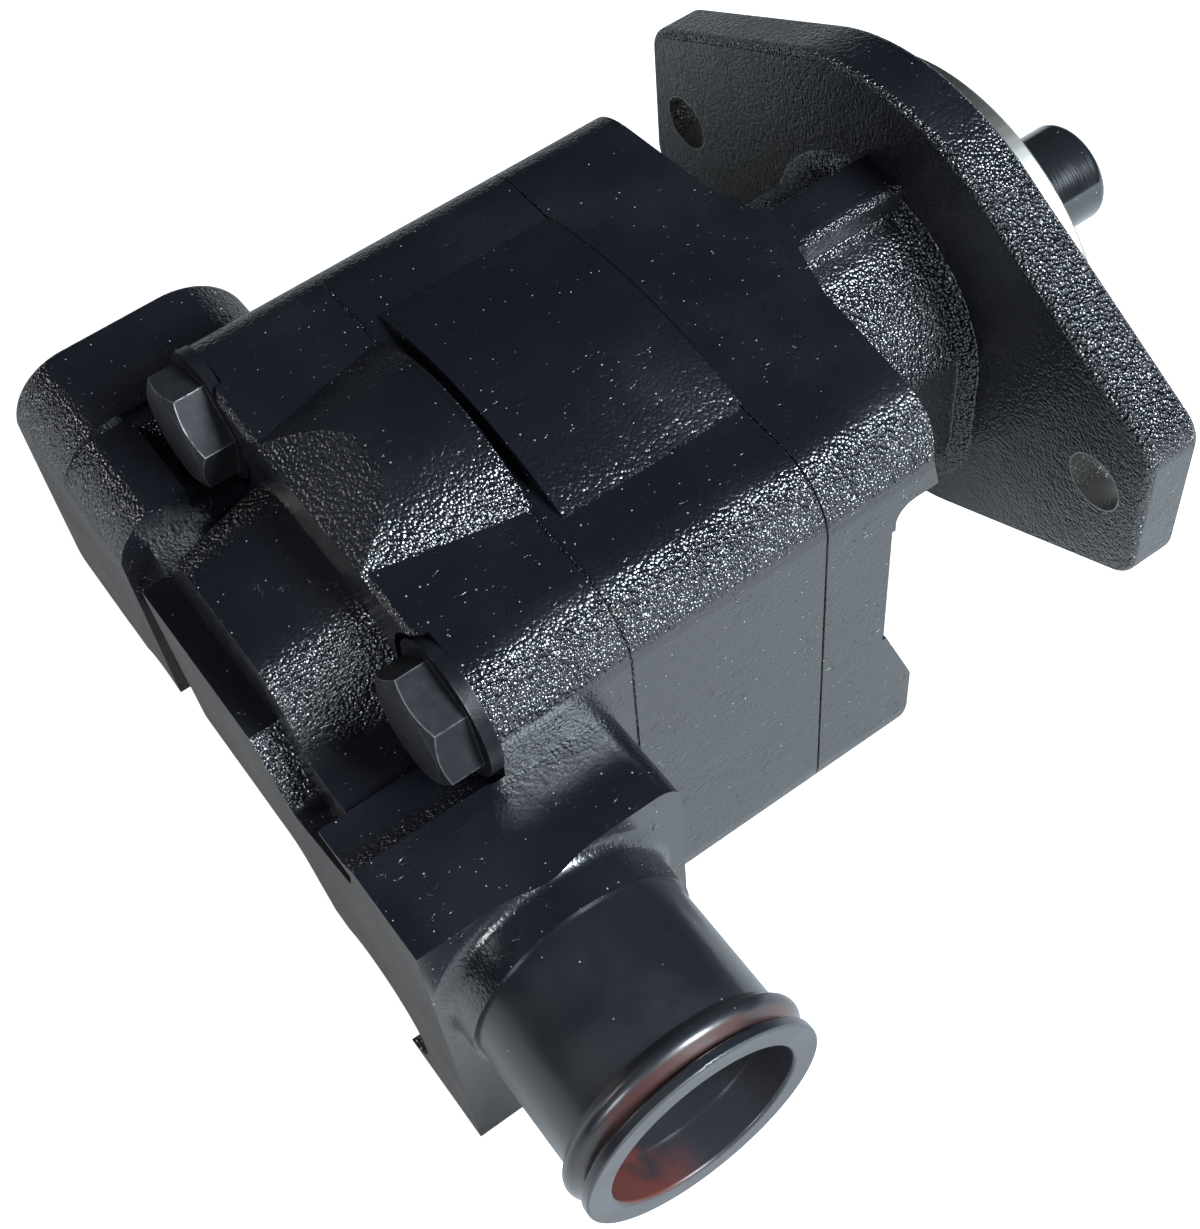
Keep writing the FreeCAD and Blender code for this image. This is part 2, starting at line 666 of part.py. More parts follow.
def outlet_outline(sketch, margin):
    """The round-cornered outlet boss, drawn in from its full size by the margin."""
    outline(sketch, [
        (rear_wall, d.outlet_bottom + margin, d.outlet_low_corner - margin),
        (block_front - margin, d.outlet_bottom + margin, d.outlet_low_corner - margin),
        (block_front - margin, d.outlet_top - margin, d.outlet_front_corner - margin),
        (rear_wall, d.outlet_top - margin, d.outlet_rear_corner - margin),
    ])


def port_bore(body, name, x, z, radius, start, length, against):
    """A round bore across the shaft direction that starts at the given distance."""
    sketch = sketch_on(body, name, "XZ_Plane", along=start)
    circle(sketch, x, z, radius)
    return extrude(body, "Pocket", sketch, length, against=against)


def make_port_end_cover():
    body = new_body("port_end_cover")
    flange = sketch_on(body, "flange", "YZ_Plane", along=cover_back)
    casting_outline(flange)
    flange_pad = extrude(body, "Pad", flange, d.rear_flange)
    soften(body, flange_pad, d.edge_rounding, lies_at(cover_back))

    crown = sketch_on(body, "crown", "XZ_Plane")
    outline(crown, [
        (cover_back, crown_inside),
        (rear_seam, crown_inside),
        (rear_seam, d.crown_front),
        (cover_back, d.crown_rear),
    ])
    turn(body, crown, "H_Axis", d.crown_angle * 2, both_ways=True)
    bevel = sketch_on(body, "crown_bevel", "XZ_Plane")
    slope = d.crown_bevel_rise / d.crown_bevel
    outline(bevel, [
        (cover_back - 2, casting_top - slope * 2),
        (cover_back + d.crown_bevel + 6, casting_top + d.crown_bevel_rise + slope * 6),
        (cover_back + d.crown_bevel + 6, casting_top + d.crown_front),
        (cover_back - 2, casting_top + d.crown_front),
    ])
    extrude(body, "Pocket", bevel, d.casting_half_width * 2, both_ways=True)

    # The web between the port blocks ends in a ledge behind the drum.
    web = sketch_on(body, "web", "YZ_Plane", along=rear_wall)
    inner = d.screw_half_spacing - 2
    outline(web, [
        (-inner - 12, d.web_bottom - 16),
        (-inner + 14, d.web_bottom - 16),
        (-d.web_left, d.web_bottom, 8),
        (d.web_left, d.web_bottom),
        (d.web_left + d.web_lean, d.ledge_height),
        (-inner - 12, d.ledge_height),
    ])
    extrude(body, "Pad", web, d.port_body + 1)
    core = sketch_on(body, "core", "YZ_Plane", along=rear_wall + d.ledge_depth)
    outline(core, [
        (-inner, d.web_bottom),
        (inner, d.outlet_bottom + 4, 8),
        (inner, d.ledge_height),
        (-inner, d.ledge_height),
    ])
    extrude(body, "Pad", core, d.port_body - d.ledge_depth + 1)
    drum = sketch_on(body, "drum", "YZ_Plane", along=cover_back + 1)
    outline(drum, [
        (-d.drum_half_width, -d.drum_radius),
        (d.drum_half_width, -d.drum_radius),
        (d.drum_half_width, d.drum_radius, d.drum_radius - 5),
        (-d.drum_half_width, d.drum_radius, d.drum_radius - 5),
    ])
    extrude(body, "Pad", drum, d.port_body - d.ledge_depth + 1, True, -d.drum_taper)

    block = sketch_on(body, "inlet_block", "XZ_Plane", along=inner)
    inlet_block_outline(block)
    extrude(body, "Pad", block, d.inlet_reach - inner)
    collar = sketch_on(body, "collar", "XY_Plane", along=d.inlet_height, right=inlet_axis_x)
    flare = d.collar_radius + d.collar_flare + 0.5
    outline(collar, [
        (0, -d.inlet_reach),
        (flare, -d.inlet_reach),
        (d.collar_radius, -d.inlet_reach, d.collar_flare),
        (d.collar_radius, -d.collar_reach),
        (0, -d.collar_reach),
    ])
    turn(body, collar, "V_Axis")
    # The flare stops at the sides of the block.
    trim = sketch_on(body, "collar_trim", "XZ_Plane", along=d.inlet_reach)
    rectangle(trim, rear_wall - flare, block_front + flare, casting_bottom - 10,
              d.inlet_top + flare)
    inlet_block_outline(trim)
    extrude(body, "Pocket", trim, d.collar_reach - d.inlet_reach + 1)

    boss = sketch_on(body, "outlet_root", "XZ_Plane", along=-d.outlet_step)
    outlet_outline(boss, 1.2)
    extrude(body, "Pad", boss, d.outlet_step - inner + 5)
    face = sketch_on(body, "outlet_boss", "XZ_Plane", along=-d.outlet_reach)
    outlet_outline(face, 0)
    face_pad = extrude(body, "Pad", face, d.outlet_reach - d.outlet_step)

    def face_edge(edge):
        box = edge.BoundBox
        return abs(box.YMin - d.outlet_reach.value) < 1e-4 and box.YLength < 1e-4

    soften(body, face_pad, d.edge_rounding, face_edge)

    scoop = sketch_on(body, "scoop", "YZ_Plane", along=rear_wall)
    outline(scoop, [
        (-d.web_left + 5, d.ledge_height + 1),
        (-d.web_left - 8, d.ledge_height - d.scoop_depth, 4),
        (-inner - 10, d.ledge_height - 6, 4),
        (-inner - 12, d.ledge_height + 1),
    ])
    extrude(body, "Pocket", scoop, d.ledge_depth)
    slant = sketch_on(body, "rear_slant", "XZ_Plane")
    outline(slant, [
        (rear_wall, d.inlet_top),
        (rear_wall + d.rear_slope, casting_bottom),
        (rear_wall + d.rear_slope, casting_bottom - 1),
        (rear_wall - 1, casting_bottom - 1),
        (rear_wall - 1, d.inlet_top),
    ])
    extrude(body, "Pocket", slant, d.outlet_reach * 2 + 2, both_ways=True)

    behind = d.port_body + d.spotface_depth + 1
    holes(body, "open_recesses", lower_screws + upper_screws[1:], d.spotface_radius,
          washer_seat, behind, True)
    holes(body, "short_recess", upper_screws[:1], d.spotface_radius, washer_seat,
          d.spotface_back + d.spotface_depth, True)
    holes(body, "screw_holes", all_screws, d.screw_hole, rear_seam, d.rear_flange, True)
    seam_features(body, "rear", rear_seam, against=True)
    flow_places = [(d.passage_offset * side, middle) for side in (1, -1)]
    holes(body, "flow_passages", flow_places, d.passage_bore, rear_seam, d.inlet_setback, True)

    spigot_floor = d.collar_reach - d.spigot_length
    port_bore(body, "spigot_bore", inlet_axis_x, d.inlet_height, d.spigot_radius,
              d.collar_reach, d.spigot_length, True)
    port_bore(body, "inlet_passage", inlet_axis_x, d.inlet_height, d.inlet_passage,
              spigot_floor, spigot_floor - d.passage_offset, True)
    outlet_x = (rear_wall + block_front) / 2
    port_bore(body, "outlet_face", outlet_x, middle, d.outlet_spotface, -d.outlet_reach, 1, False)
    port_bore(body, "outlet_bore", outlet_x, middle, d.outlet_bore, -d.outlet_reach,
              d.outlet_depth, False)
    port_bore(body, "outlet_passage", outlet_x, middle, d.outlet_passage, -d.outlet_reach,
              d.outlet_reach - d.passage_offset, False)
    return body


# Gears
# A pair of equal spur gears with true involute flanks. The driving one is one piece with the
# keyed shaft, the other one runs on its own journals. They are in mesh at rest.


def involute_angle(radius, base):
    """How far the involute has turned at a radius, in radians."""
    unrolled = math.sqrt(max((radius / base) ** 2 - 1, 0))
    return unrolled - math.atan(unrolled)


straight_up = 90


def make_gear(name, up, first_tooth):
    """A toothed blank; first_tooth is the angle of a tooth's middle, in degrees."""
    teeth = int(round(d.gear_teeth.value))
    pitch = pitch_radius.value
    base = pitch * math.cos(math.radians(d.pressure_angle.value))
    tip = tip_radius.value
    root = pitch - 1.25 * d.gear_module.value
    half_tooth = (math.pi / teeth - d.backlash.value / 2 / pitch) / 2
    flank_root = max(base, root + 0.3)
    lean = half_tooth + involute_angle(pitch, base)
    steps = 5
    radii = [flank_root + (tip - flank_root) * (i / steps) for i in range(steps + 1)]

    def spot(radius, angle):
        return Vector(0, radius * math.cos(angle), radius * math.sin(angle))

    def flank(middle_angle, side):
        return [
            spot(r, middle_angle + side * (lean - involute_angle(r, base))) for r in radii
        ]

    edges = []
    for tooth in range(teeth):
        centre = math.radians(first_tooth) + 2 * math.pi * tooth / teeth
        next_centre = centre + 2 * math.pi / teeth
        rising = flank(centre, -1)
        falling = flank(centre, 1)
        following = flank(next_centre, -1)
        for points in (rising, falling):
            curve = Part.BSplineCurve()
            curve.interpolate(points)
            edges.append(curve.toShape())
        edges.append(Part.Arc(rising[-1], spot(tip, centre), falling[-1]).toShape())
        foot = spot(root, centre + lean - involute_angle(flank_root, base))
        next_foot = spot(root, next_centre - lean + involute_angle(flank_root, base))
        valley = spot(root, centre + math.pi / teeth)
        edges.append(Part.LineSegment(falling[0], foot).toShape())
        edges.append(Part.Arc(foot, valley, next_foot).toShape())
        edges.append(Part.LineSegment(next_foot, following[0]).toShape())
    wire = Part.Wire(Part.__sortEdges__(edges))
    gear = doc.addObject("Part::Feature", name)
    gear.Shape = Part.Face(wire).extrude(Vector(gear_width.value, 0, 0))
    gear.Placement = Placement(Vector(gear_back.value, 0, as_size(up).value), Rotation())
    return gear


def make_drive_shaft():
    body = new_body("drive_shaft_core")
    core = sketch_on(body, "core", "XZ_Plane")
    step = d.pilot_height - d.seal_setback + d.shaft_step
    outline(core, [
        (shaft_back, 0),
        (shaft_back, -d.journal_radius, 1),
        (step, -d.journal_radius, 0.8),
        (step, -d.shaft_radius),
        (d.shaft_reach, -d.shaft_radius, d.shaft_end_rounding),
        (d.shaft_reach, 0),
    ])
    turn(body, core, "H_Axis")
    keyway = sketch_on(body, "keyway", "XY_Plane", along=-d.shaft_radius - 1)
    key_end = d.shaft_reach - d.key_setback
    rectangle(keyway, key_end - d.key_length, key_end, -d.key_width / 2, d.key_width / 2)
    extrude(body, "Pocket", keyway, d.key_width / 2 + 1)
    gear = make_gear("drive_gear", 0, -straight_up)
    return combine("Fuse", "drive_shaft", [body, gear])


def make_driven_gear():
    body = new_body("driven_journals")
    core = sketch_on(body, "core", "XZ_Plane", up=-d.centre_distance)
    outline(core, [
        (shaft_back, 0),
        (shaft_back, d.journal_radius, 1),
        (front_seam + d.bushing_length, d.journal_radius, 1),
        (front_seam + d.bushing_length, 0),
    ])
    turn(body, core, "H_Axis")
    half_pitch = 180 / round(d.gear_teeth.value)
    gear = make_gear("driven_teeth", -d.centre_distance, straight_up + half_pitch)
    return combine("Fuse", "driven_gear", [body, gear])


def make_shaft_key():
    key = doc.addObject("Part::Box", "shaft_key")
    key.Label = "shaft_key"
    for side, amount in (("Length", d.key_length), ("Width", d.key_width), ("Height", d.key_width)):
        key.setExpression(side, amount.formula)
    corner = (
        d.shaft_reach - d.key_setback - d.key_length,
        -d.key_width / 2,
        -d.shaft_radius - d.key_width / 2,
    )
    for letter, amount in zip("xyz", corner):
        key.setExpression(f".Placement.Base.{letter}", amount.formula)
    return key


# Thrust plates and their seals
# A figure-8 plate lies against each side of the gears, with a ring seal round each journal on
# the side of the cover.


def make_thrust_plate(name, cover_side, towards_gear):
    body = new_body(name)
    back = cover_side if towards_gear > 0 else cover_side - d.plate_thickness
    for number, axis in enumerate(gear_axes):
        disc = sketch_on(body, f"disc_{number}", "YZ_Plane", along=back)
        circle(disc, 0, axis, tip_radius)
        extrude(body, "Pad", disc, d.plate_thickness)
    bores = [(0, axis) for axis in gear_axes]
    cut_back = towards_gear < 0
    holes(body, "journal_holes", bores, d.journal_radius + d.plate_play, cover_side, d.plate_thickness, cut_back)
    notches = [(d.passage_offset * side, middle) for side in (1, -1)]
    for number, notch in enumerate(notches):
        holes(body, f"notch_{number}", [notch], d.passage_bore, cover_side, d.plate_thickness,
              cut_back)
    for number, axis in enumerate(gear_axes):
        groove = sketch_on(body, f"seal_groove_{number}", "YZ_Plane", along=cover_side)
        circle(groove, 0, axis, d.plate_seal_radius + d.plate_seal_width)
        circle(groove, 0, axis, d.plate_seal_radius)
        extrude(body, "Pocket", groove, d.plate_seal_depth, against=cut_back)
    return body


def make_thrust_seal(name, cover_side, towards_gear):
    rings = []
    for number, axis in enumerate(gear_axes):
        body = new_body(f"{name}_ring_{number}")
        start = cover_side if towards_gear > 0 else cover_side - d.plate_seal_depth
        ring(body, "ring", d.plate_seal_radius + d.plate_seal_width, d.plate_seal_radius, start,
             d.plate_seal_depth, axis)
        rings.append(body)
    return combine("Compound", name, rings)


def make_bushing(name, seam, outward, axis):
    body = new_body(name)
    start = seam if outward > 0 else seam - d.bushing_length
    bush = ring(body, "sleeve", d.bushing_radius, d.journal_radius + d.journal_clearance, start,
                d.bushing_length, axis)

    def outer_edge(edge):
        return abs(edge.BoundBox.YLength / 2 - d.bushing_radius.value) < 0.01 and edge.Closed

    soften(body, bush, 0.8, outer_edge, "Chamfer")
    return body


def make_body_seal(name, seam, outward):
    body = new_body(name)
    start = seam if outward > 0 else seam - d.body_seal_depth
    band = sketch_on(body, "band", "YZ_Plane", along=start)
    racetrack(band, d.body_seal_offset + d.body_seal_width)
    racetrack(band, d.body_seal_offset)
    extrude(body, "Pad", band, d.body_seal_depth)
    return body


# Shaft seal and its retaining ring
# A steel-cased lip seal in the pilot bore, held by an open spring ring.


def make_shaft_seal():
    body = new_body("shaft_seal")
    back = d.pilot_height - d.seal_setback - d.seal_width
    front = d.pilot_height - d.seal_setback
    lip = d.journal_radius + d.journal_clearance
    profile = sketch_on(body, "profile", "XZ_Plane")
    outline(profile, [
        (back, lip + 2.5),
        (back, d.seal_radius),
        (front, d.seal_radius),
        (front, lip + 1.5),
        (front - 1.5, lip),
        (front - 3, lip),
        (front - 3, d.seal_radius - 2),
        (back + 1.5, d.seal_radius - 2),
        (back + 1.5, lip + 2.5),
    ])
    turn(body, profile, "H_Axis")
    return body


def make_retaining_ring():
    body = new_body("seal_retaining_ring")
    start = d.pilot_height - d.seal_setback
    outer = d.seal_radius + d.ring_groove
    ring(body, "ring", outer, d.seal_radius - 2.5, start, d.ring_thickness)
    gap = sketch_on(body, "gap", "YZ_Plane", along=start)
    rectangle(gap, -4, 4, -outer - 1, -d.shaft_radius)
    extrude(body, "Pocket", gap, d.ring_thickness)
    return body


# Cap screws, washers and dowels
# Hexagon cap screws come in from the rear, each on a thick washer, and end in the corner bosses
# of the shaft end cover. Their heads stand at different turns.


def make_cap_screw(number, y, z, turned):
    shank = along_shaft("Cylinder", f"screw_shank_{number}", head_seat, y, z)
    shank.setExpression("Radius", d.screw_radius.formula)
    shank.setExpression("Height", d.screw_length.formula)
    hexagon = along_shaft("Prism", f"screw_hexagon_{number}", head_seat, y, z, False)
    hexagon.Polygon = 6
    hexagon.setExpression("Circumradius", (d.head_across_flats / root_of(as_size(3))).formula)
    hexagon.setExpression("Height", d.head_height.formula)
    hexagon.Placement.Rotation = hexagon.Placement.Rotation * Rotation(Vector(0, 0, 1), turned)
    cone = along_shaft("Cone", f"screw_cone_{number}", head_seat, y, z, False)
    top = d.head_across_flats * 0.47
    cone.setExpression("Radius2", top.formula)
    cone.setExpression("Radius1", (top + d.head_height * 1.8).formula)
    cone.setExpression("Height", d.head_height.formula)
    head = combine("Common", f"screw_head_{number}", [hexagon, cone])
    return combine("Fuse", f"cap_screw_{number}", [shank, head])


def make_cap_screws():
    turns = (47, 15, 5, 27)
    screws = [
        make_cap_screw(number, y, z, turned)
        for number, ((_, y, z), turned) in enumerate(zip(screw_places, turns), start=1)
    ]
    return combine("Compound", "cap_screws", screws)


def make_washers():
    washers = []
    for number, (_, y, z) in enumerate(screw_places, start=1):
        disc = along_shaft("Cylinder", f"washer_disc_{number}", head_seat, y, z)
        disc.setExpression("Radius", d.washer_radius.formula)
        disc.setExpression("Height", d.washer_thickness.formula)
        hole = along_shaft("Cylinder", f"washer_hole_{number}", head_seat, y, z)
        hole.setExpression("Radius", d.screw_hole.formula)
        hole.setExpression("Height", d.washer_thickness.formula)
        washers.append(combine("Cut", f"washer_{number}", [disc, hole]))
    return combine("Compound", "cap_screw_washers", washers)


def make_dowels(name, seam):
    pins = []
    for number, (y, z) in enumerate(dowel_places, start=1):
        pin = along_shaft("Cylinder", f"{name}_{number}", seam - d.dowel_length / 2, y, z)
        pin.setExpression("Radius", d.dowel_radius.formula)
        pin.setExpression("Height", d.dowel_length.formula)
        pins.append(pin)
    return combine("Compound", name, pins)


# Hose stub
# A turned tube that plugs into the collar of the inlet, sealed by an o-ring, with a rolled bead
# and a flat lip that keep a clamped hose on.


def make_hose_stub():
    body = new_body("inlet_hose_stub")
    tube = sketch_on(body, "tube", "XY_Plane", along=d.inlet_height, right=inlet_axis_x)
    root = -(d.collar_reach - d.spigot_length)
    mouth = -d.stub_reach
    lip_back = mouth + d.lip_thickness
    bead_front = lip_back + 1
    bead_middle = bead_front + d.bead_radius
    bead_rounding = (d.bead_radius - d.bead_height) / (math.sqrt(2) - 1)
    groove_front = -d.collar_reach + 4
    groove_back = groove_front + d.o_ring_section * 2.2
    groove_floor = d.spigot_radius - d.o_ring_section * 2
    outline(tube, [
        (d.stub_bore, root),
        (d.spigot_radius, root),
        (d.spigot_radius, groove_back),
        (groove_floor, groove_back),
        (groove_floor, groove_front),
        (d.spigot_radius, groove_front),
        (d.spigot_radius, -d.collar_reach),
        (d.stub_radius, -d.collar_reach),
        (d.stub_radius, bead_front + d.bead_radius * 2),
        (d.stub_radius + d.bead_radius, bead_middle, bead_rounding),
        (d.stub_radius, bead_front),
        (d.stub_radius, lip_back),
        (d.lip_radius, lip_back, 0.5),
        (d.lip_radius, mouth, 0.5),
        (d.mouth_radius, mouth, 0.8),
        (d.mouth_radius, mouth + d.mouth_depth),
        (d.stub_bore, mouth + d.mouth_depth),
    ])
    turn(body, tube, "V_Axis")
    return body


def make_o_ring():
    torus = doc.addObject("Part::Torus", "inlet_o_ring")
    torus.Label = "inlet_o_ring"
    torus.Placement = Placement(Vector(), Rotation(Vector(1, 0, 0), 90))
    torus.setExpression("Radius1", (d.spigot_radius - d.o_ring_section).formula)
    torus.setExpression("Radius2", d.o_ring_section.formula)
    centre = (inlet_axis_x, -d.collar_reach + 4 + d.o_ring_section * 1.1, d.inlet_height)
    for letter, amount in zip("xyz", centre):
        torus.setExpression(f".Placement.Base.{letter}", amount.formula)
    return torus


nodes = [
    make_shaft_end_cover(),
    make_gear_housing(),
    make_port_end_cover(),
    make_drive_shaft(),
    make_driven_gear(),
    make_shaft_key(),
    make_thrust_plate("thrust_plate_front", front_seam, -1),
    make_thrust_plate("thrust_plate_rear", rear_seam, 1),
    make_thrust_seal("thrust_seal_front", front_seam, -1),
    make_thrust_seal("thrust_seal_rear", rear_seam, 1),
    make_bushing("bushing_drive_front", front_seam, 1, gear_axes[0]),
    make_bushing("bushing_drive_rear", rear_seam, -1, gear_axes[0]),
    make_bushing("bushing_driven_front", front_seam, 1, gear_axes[1]),
    make_bushing("bushing_driven_rear", rear_seam, -1, gear_axes[1]),
    make_body_seal("body_seal_front", front_seam, 1),
    make_body_seal("body_seal_rear", rear_seam, -1),
    make_shaft_seal(),
    make_retaining_ring(),
    make_cap_screws(),
    make_washers(),
    make_dowels("dowel_pins_front", front_seam),
    make_dowels("dowel_pins_rear", rear_seam),
    make_hose_stub(),
    make_o_ring(),
]
doc.recompute()

# Nothing is written unless every object is sound and every cut has removed material.
for item in doc.Objects:
    if "Invalid" in item.State or "Error" in item.State:
        raise RuntimeError(f"{item.Label} did not build: {item.State}")
    if item.TypeId in ("PartDesign::Pocket", "PartDesign::Groove"):
        if item.Shape.Volume > item.BaseFeature.Shape.Volume - 1e-3:
            raise RuntimeError(f"{item.Label} removes nothing")
for node in nodes:
    if node.Shape.isNull() or not node.Shape.isValid():
        raise RuntimeError(f"{node.Label} has no valid shape")
for node in nodes:
    node.Shape.exportStep(f"parts/{node.Label}.step")
    box = node.Shape.BoundBox
    print(f"{node.Label}: {len(node.Shape.Solids)} solids, {node.Shape.Volume:.0f} mm3,"
          f" x {box.XMin:.1f}..{box.XMax:.1f} y {box.YMin:.1f}..{box.YMax:.1f}"
          f" z {box.ZMin:.1f}..{box.ZMax:.1f}")
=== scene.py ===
import math

import bmesh
import bpy
from mathutils import Matrix, Vector


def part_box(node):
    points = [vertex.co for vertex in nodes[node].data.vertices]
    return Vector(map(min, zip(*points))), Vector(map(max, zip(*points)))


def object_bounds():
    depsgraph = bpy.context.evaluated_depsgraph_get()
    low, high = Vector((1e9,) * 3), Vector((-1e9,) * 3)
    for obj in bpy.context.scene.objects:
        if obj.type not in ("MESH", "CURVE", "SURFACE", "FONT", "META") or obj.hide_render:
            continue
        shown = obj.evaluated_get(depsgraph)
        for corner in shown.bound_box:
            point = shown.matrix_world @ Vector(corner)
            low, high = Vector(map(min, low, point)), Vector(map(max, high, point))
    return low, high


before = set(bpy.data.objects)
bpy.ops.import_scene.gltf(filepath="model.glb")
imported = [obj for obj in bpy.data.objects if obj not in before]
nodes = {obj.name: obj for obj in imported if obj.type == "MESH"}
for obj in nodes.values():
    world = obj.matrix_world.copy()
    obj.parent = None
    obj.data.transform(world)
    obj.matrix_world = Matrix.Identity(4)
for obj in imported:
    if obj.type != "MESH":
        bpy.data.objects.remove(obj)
cad_low, cad_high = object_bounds()

# Camera and studio
# The pump stands on a white paper sheet in a plain room. The camera looks down on its rear left
# side, as in the photograph. Two soft lamps stand on that side, and a faint low one behind it.
camera_place = (-0.250567, -0.2535, 0.384222)
look_right = Vector((0.81743286, -0.5694996, -0.08645069))
look_down = Vector((-0.50102192, -0.62889216, -0.59453486))
look_ahead = Vector((0.2842192, 0.52930602, -0.79940889))
pure_white = (1, 1, 1, 1)
paper_white = (0.48, 0.48, 0.48, 1)
paper_glow_near, paper_glow_far = 0.85, 1.0
glow_rises_from, glow_rises_to = 0.5, 1.1
sheet_half_size = 9
sheet_gap = 0.0002
room_blue = (0.82, 0.9, 1, 1)
room_light = 0.034

camera_data = bpy.data.cameras.new("camera")
camera_data.lens = 63.12
camera_data.shift_x = 0.0601
camera_data.shift_y = -0.0942
camera = bpy.data.objects.new("camera", camera_data)
bpy.context.scene.collection.objects.link(camera)
bpy.context.scene.camera = camera
camera_turn = Matrix((look_right, -look_down, -look_ahead)).transposed()
camera.matrix_world = Matrix.Translation(camera_place) @ camera_turn.to_4x4()
bpy.context.scene.view_settings.view_transform = "Standard"


def fill(tree, socket, value):
    """Sets a socket to a value, or links it to the output of another node."""
    if isinstance(value, bpy.types.NodeSocket):
        tree.links.new(value, socket)
    else:
        socket.default_value = value


def add(tree, kind, settings=None, **sockets):
    """A shader node. Each socket takes a value or the output of another node."""
    made = tree.nodes.new("ShaderNode" + kind)
    for name, value in (settings or {}).items():
        setattr(made, name, value)
    for name, value in sockets.items():
        fill(tree, made.inputs[name.replace("_", " ")], value)
    return made


def calc(tree, operation, *values):
    """The result of a sum on numbers or on the outputs of other nodes."""
    made = add(tree, "Math", {"operation": operation})
    for socket, value in zip(made.inputs, values):
        fill(tree, socket, value)
    return made.outputs[0]


def ramp(tree, value, low, high, start=0.0, end=1.0):
    """Runs smoothly from start to end while the value goes from low to high."""
    made = add(tree, "MapRange", {"interpolation_type": "SMOOTHSTEP"}, Value=value)
    for socket, number in zip(("From Min", "From Max", "To Min", "To Max"),
                              (low, high, start, end)):
        fill(tree, made.inputs[socket], number)
    return made.outputs[0]


def empty_tree(owner):
    """The cleared shader tree of a material or a world."""
    owner.use_nodes = True
    owner.node_tree.nodes.clear()
    return owner.node_tree


def sheet_of_paper():
    """White paper that fills the background, and keeps the soft shadow of the pump."""
    paper = bpy.data.materials.new("white paper")
    tree = empty_tree(paper)
    matt = add(tree, "BsdfDiffuse", Color=paper_white).outputs[0]
    spot = tree.nodes.new("ShaderNodeTexCoord").outputs["Object"]
    away = add(tree, "VectorMath", {"operation": "LENGTH"}, Vector=spot).outputs["Value"]
    strength = ramp(tree, away, glow_rises_from, glow_rises_to, paper_glow_near, paper_glow_far)
    glow = add(tree, "Emission", Color=pure_white, Strength=strength).outputs[0]
    both = tree.nodes.new("ShaderNodeAddShader")
    fill(tree, both.inputs[0], matt)
    fill(tree, both.inputs[1], glow)
    rays = tree.nodes.new("ShaderNodeLightPath").outputs
    pick = add(tree, "MixShader", Fac=rays["Is Camera Ray"])
    fill(tree, pick.inputs[1], matt)
    fill(tree, pick.inputs[2], both.outputs[0])
    add(tree, "OutputMaterial", Surface=pick.outputs[0])
    mesh = bmesh.new()
    bmesh.ops.create_grid(mesh, x_segments=8, y_segments=8, size=sheet_half_size)
    flat = bpy.data.meshes.new("white_sheet")
    mesh.to_mesh(flat)
    mesh.free()
    flat.materials.append(paper)
    floor = bpy.data.objects.new("white_sheet", flat)
    floor.location.z = cad_low.z - sheet_gap
    bpy.context.scene.collection.objects.link(floor)


def plain_room():
    """A dim room, which the camera sees as white."""
    room = bpy.data.worlds.new("room")
    bpy.context.scene.world = room
    tree = empty_tree(room)
    rays = tree.nodes.new("ShaderNodeLightPath").outputs
    pick = add(tree, "MixShader", Fac=rays["Is Camera Ray"])
    dim = add(tree, "Background", Color=room_blue, Strength=room_light)
    white = add(tree, "Background", Color=pure_white, Strength=1.0)
    fill(tree, pick.inputs[1], dim.outputs[0])
    fill(tree, pick.inputs[2], white.outputs[0])
    add(tree, "OutputWorld", Surface=pick.outputs[0])


def soft_lamp(name, place, width, height, power, colour, aimed_at=(-0.09, 0, -0.02),
              spread=180):
    """An oval area lamp of that size in metres, turned to the middle of the pump or elsewhere."""
    lamp = bpy.data.lights.new(name, "AREA")
    lamp.shape = "ELLIPSE"
    lamp.size = width
    lamp.size_y = height
    lamp.energy = power
    lamp.color = colour
    lamp.spread = math.radians(spread)
    stand = bpy.data.objects.new(name, lamp)
    bpy.context.scene.collection.objects.link(stand)
    stand.location = place
    stand.rotation_mode = "QUATERNION"
    aim = Vector(aimed_at) - Vector(place)
    stand.rotation_quaternion = aim.to_track_quat("-Z", "Y")


sheet_of_paper()
plain_room()
soft_lamp("key_lamp", place=(0.42, -1.06, 1.06), width=0.62, height=0.9, power=72,
          colour=(0.82, 0.93, 1))
soft_lamp("side_lamp", place=(-1.3, -0.7, 0.75), width=0.5, height=0.6, power=13,
          colour=(0.9, 0.95, 1))
soft_lamp("rear_lamp", place=(-0.6, 0.45, 0.12), width=0.3, height=0.3, power=0.17,
          colour=(1, 0.96, 0.91), aimed_at=(-0.3, 0.08, -0.11), spread=42)


# Shaft end cover
# The front casting of grey iron: mounting flange, neck, and the plate that closes the gear housing.
# It is cast in sand, turned on the pilot and bored, and sprayed gloss black with the pilot masked.
paint_black = (0.0045, 0.005, 0.008, 1)
paint_thin = (0.009, 0.0092, 0.0125, 1)
# Pale specks: dust, and on the castings also painted glints.
pale_speck_grey = (0.5, 0.49, 0.47, 1)
# Painted shade: the worm pits are given a darker paint colour.
painted_shade_in_pits = (0.004, 0.004, 0.005, 1)
paint_in_shade = (0.001, 0.001, 0.001, 1)
turned_iron = (0.46, 0.45, 0.43, 1)
turned_stain = (0.36, 0.31, 0.26, 1)
grain_scale = 1250.0
grain_depth = 0.00044
lump_share, pebble_share, swell_share, pit_share = 1.6, 1.1, 0.35, 0.5
smooth_on_sides, smooth_on_ends, smooth_on_tops = 0.86, 0.84, 0.86
flat_from, flat_to = 0.965, 0.995
top_from, top_to = 0.8, 1.0
seam_tolerance = 0.0001
pilot_foot = 0.0004
pilot_rings = 14000.0
seal_bore_wall = 0.0224
flange_hole_offset = 0.073
flange_hole_wall = 0.0076
flange_hole_bareness_under_painted_shade = 0.5
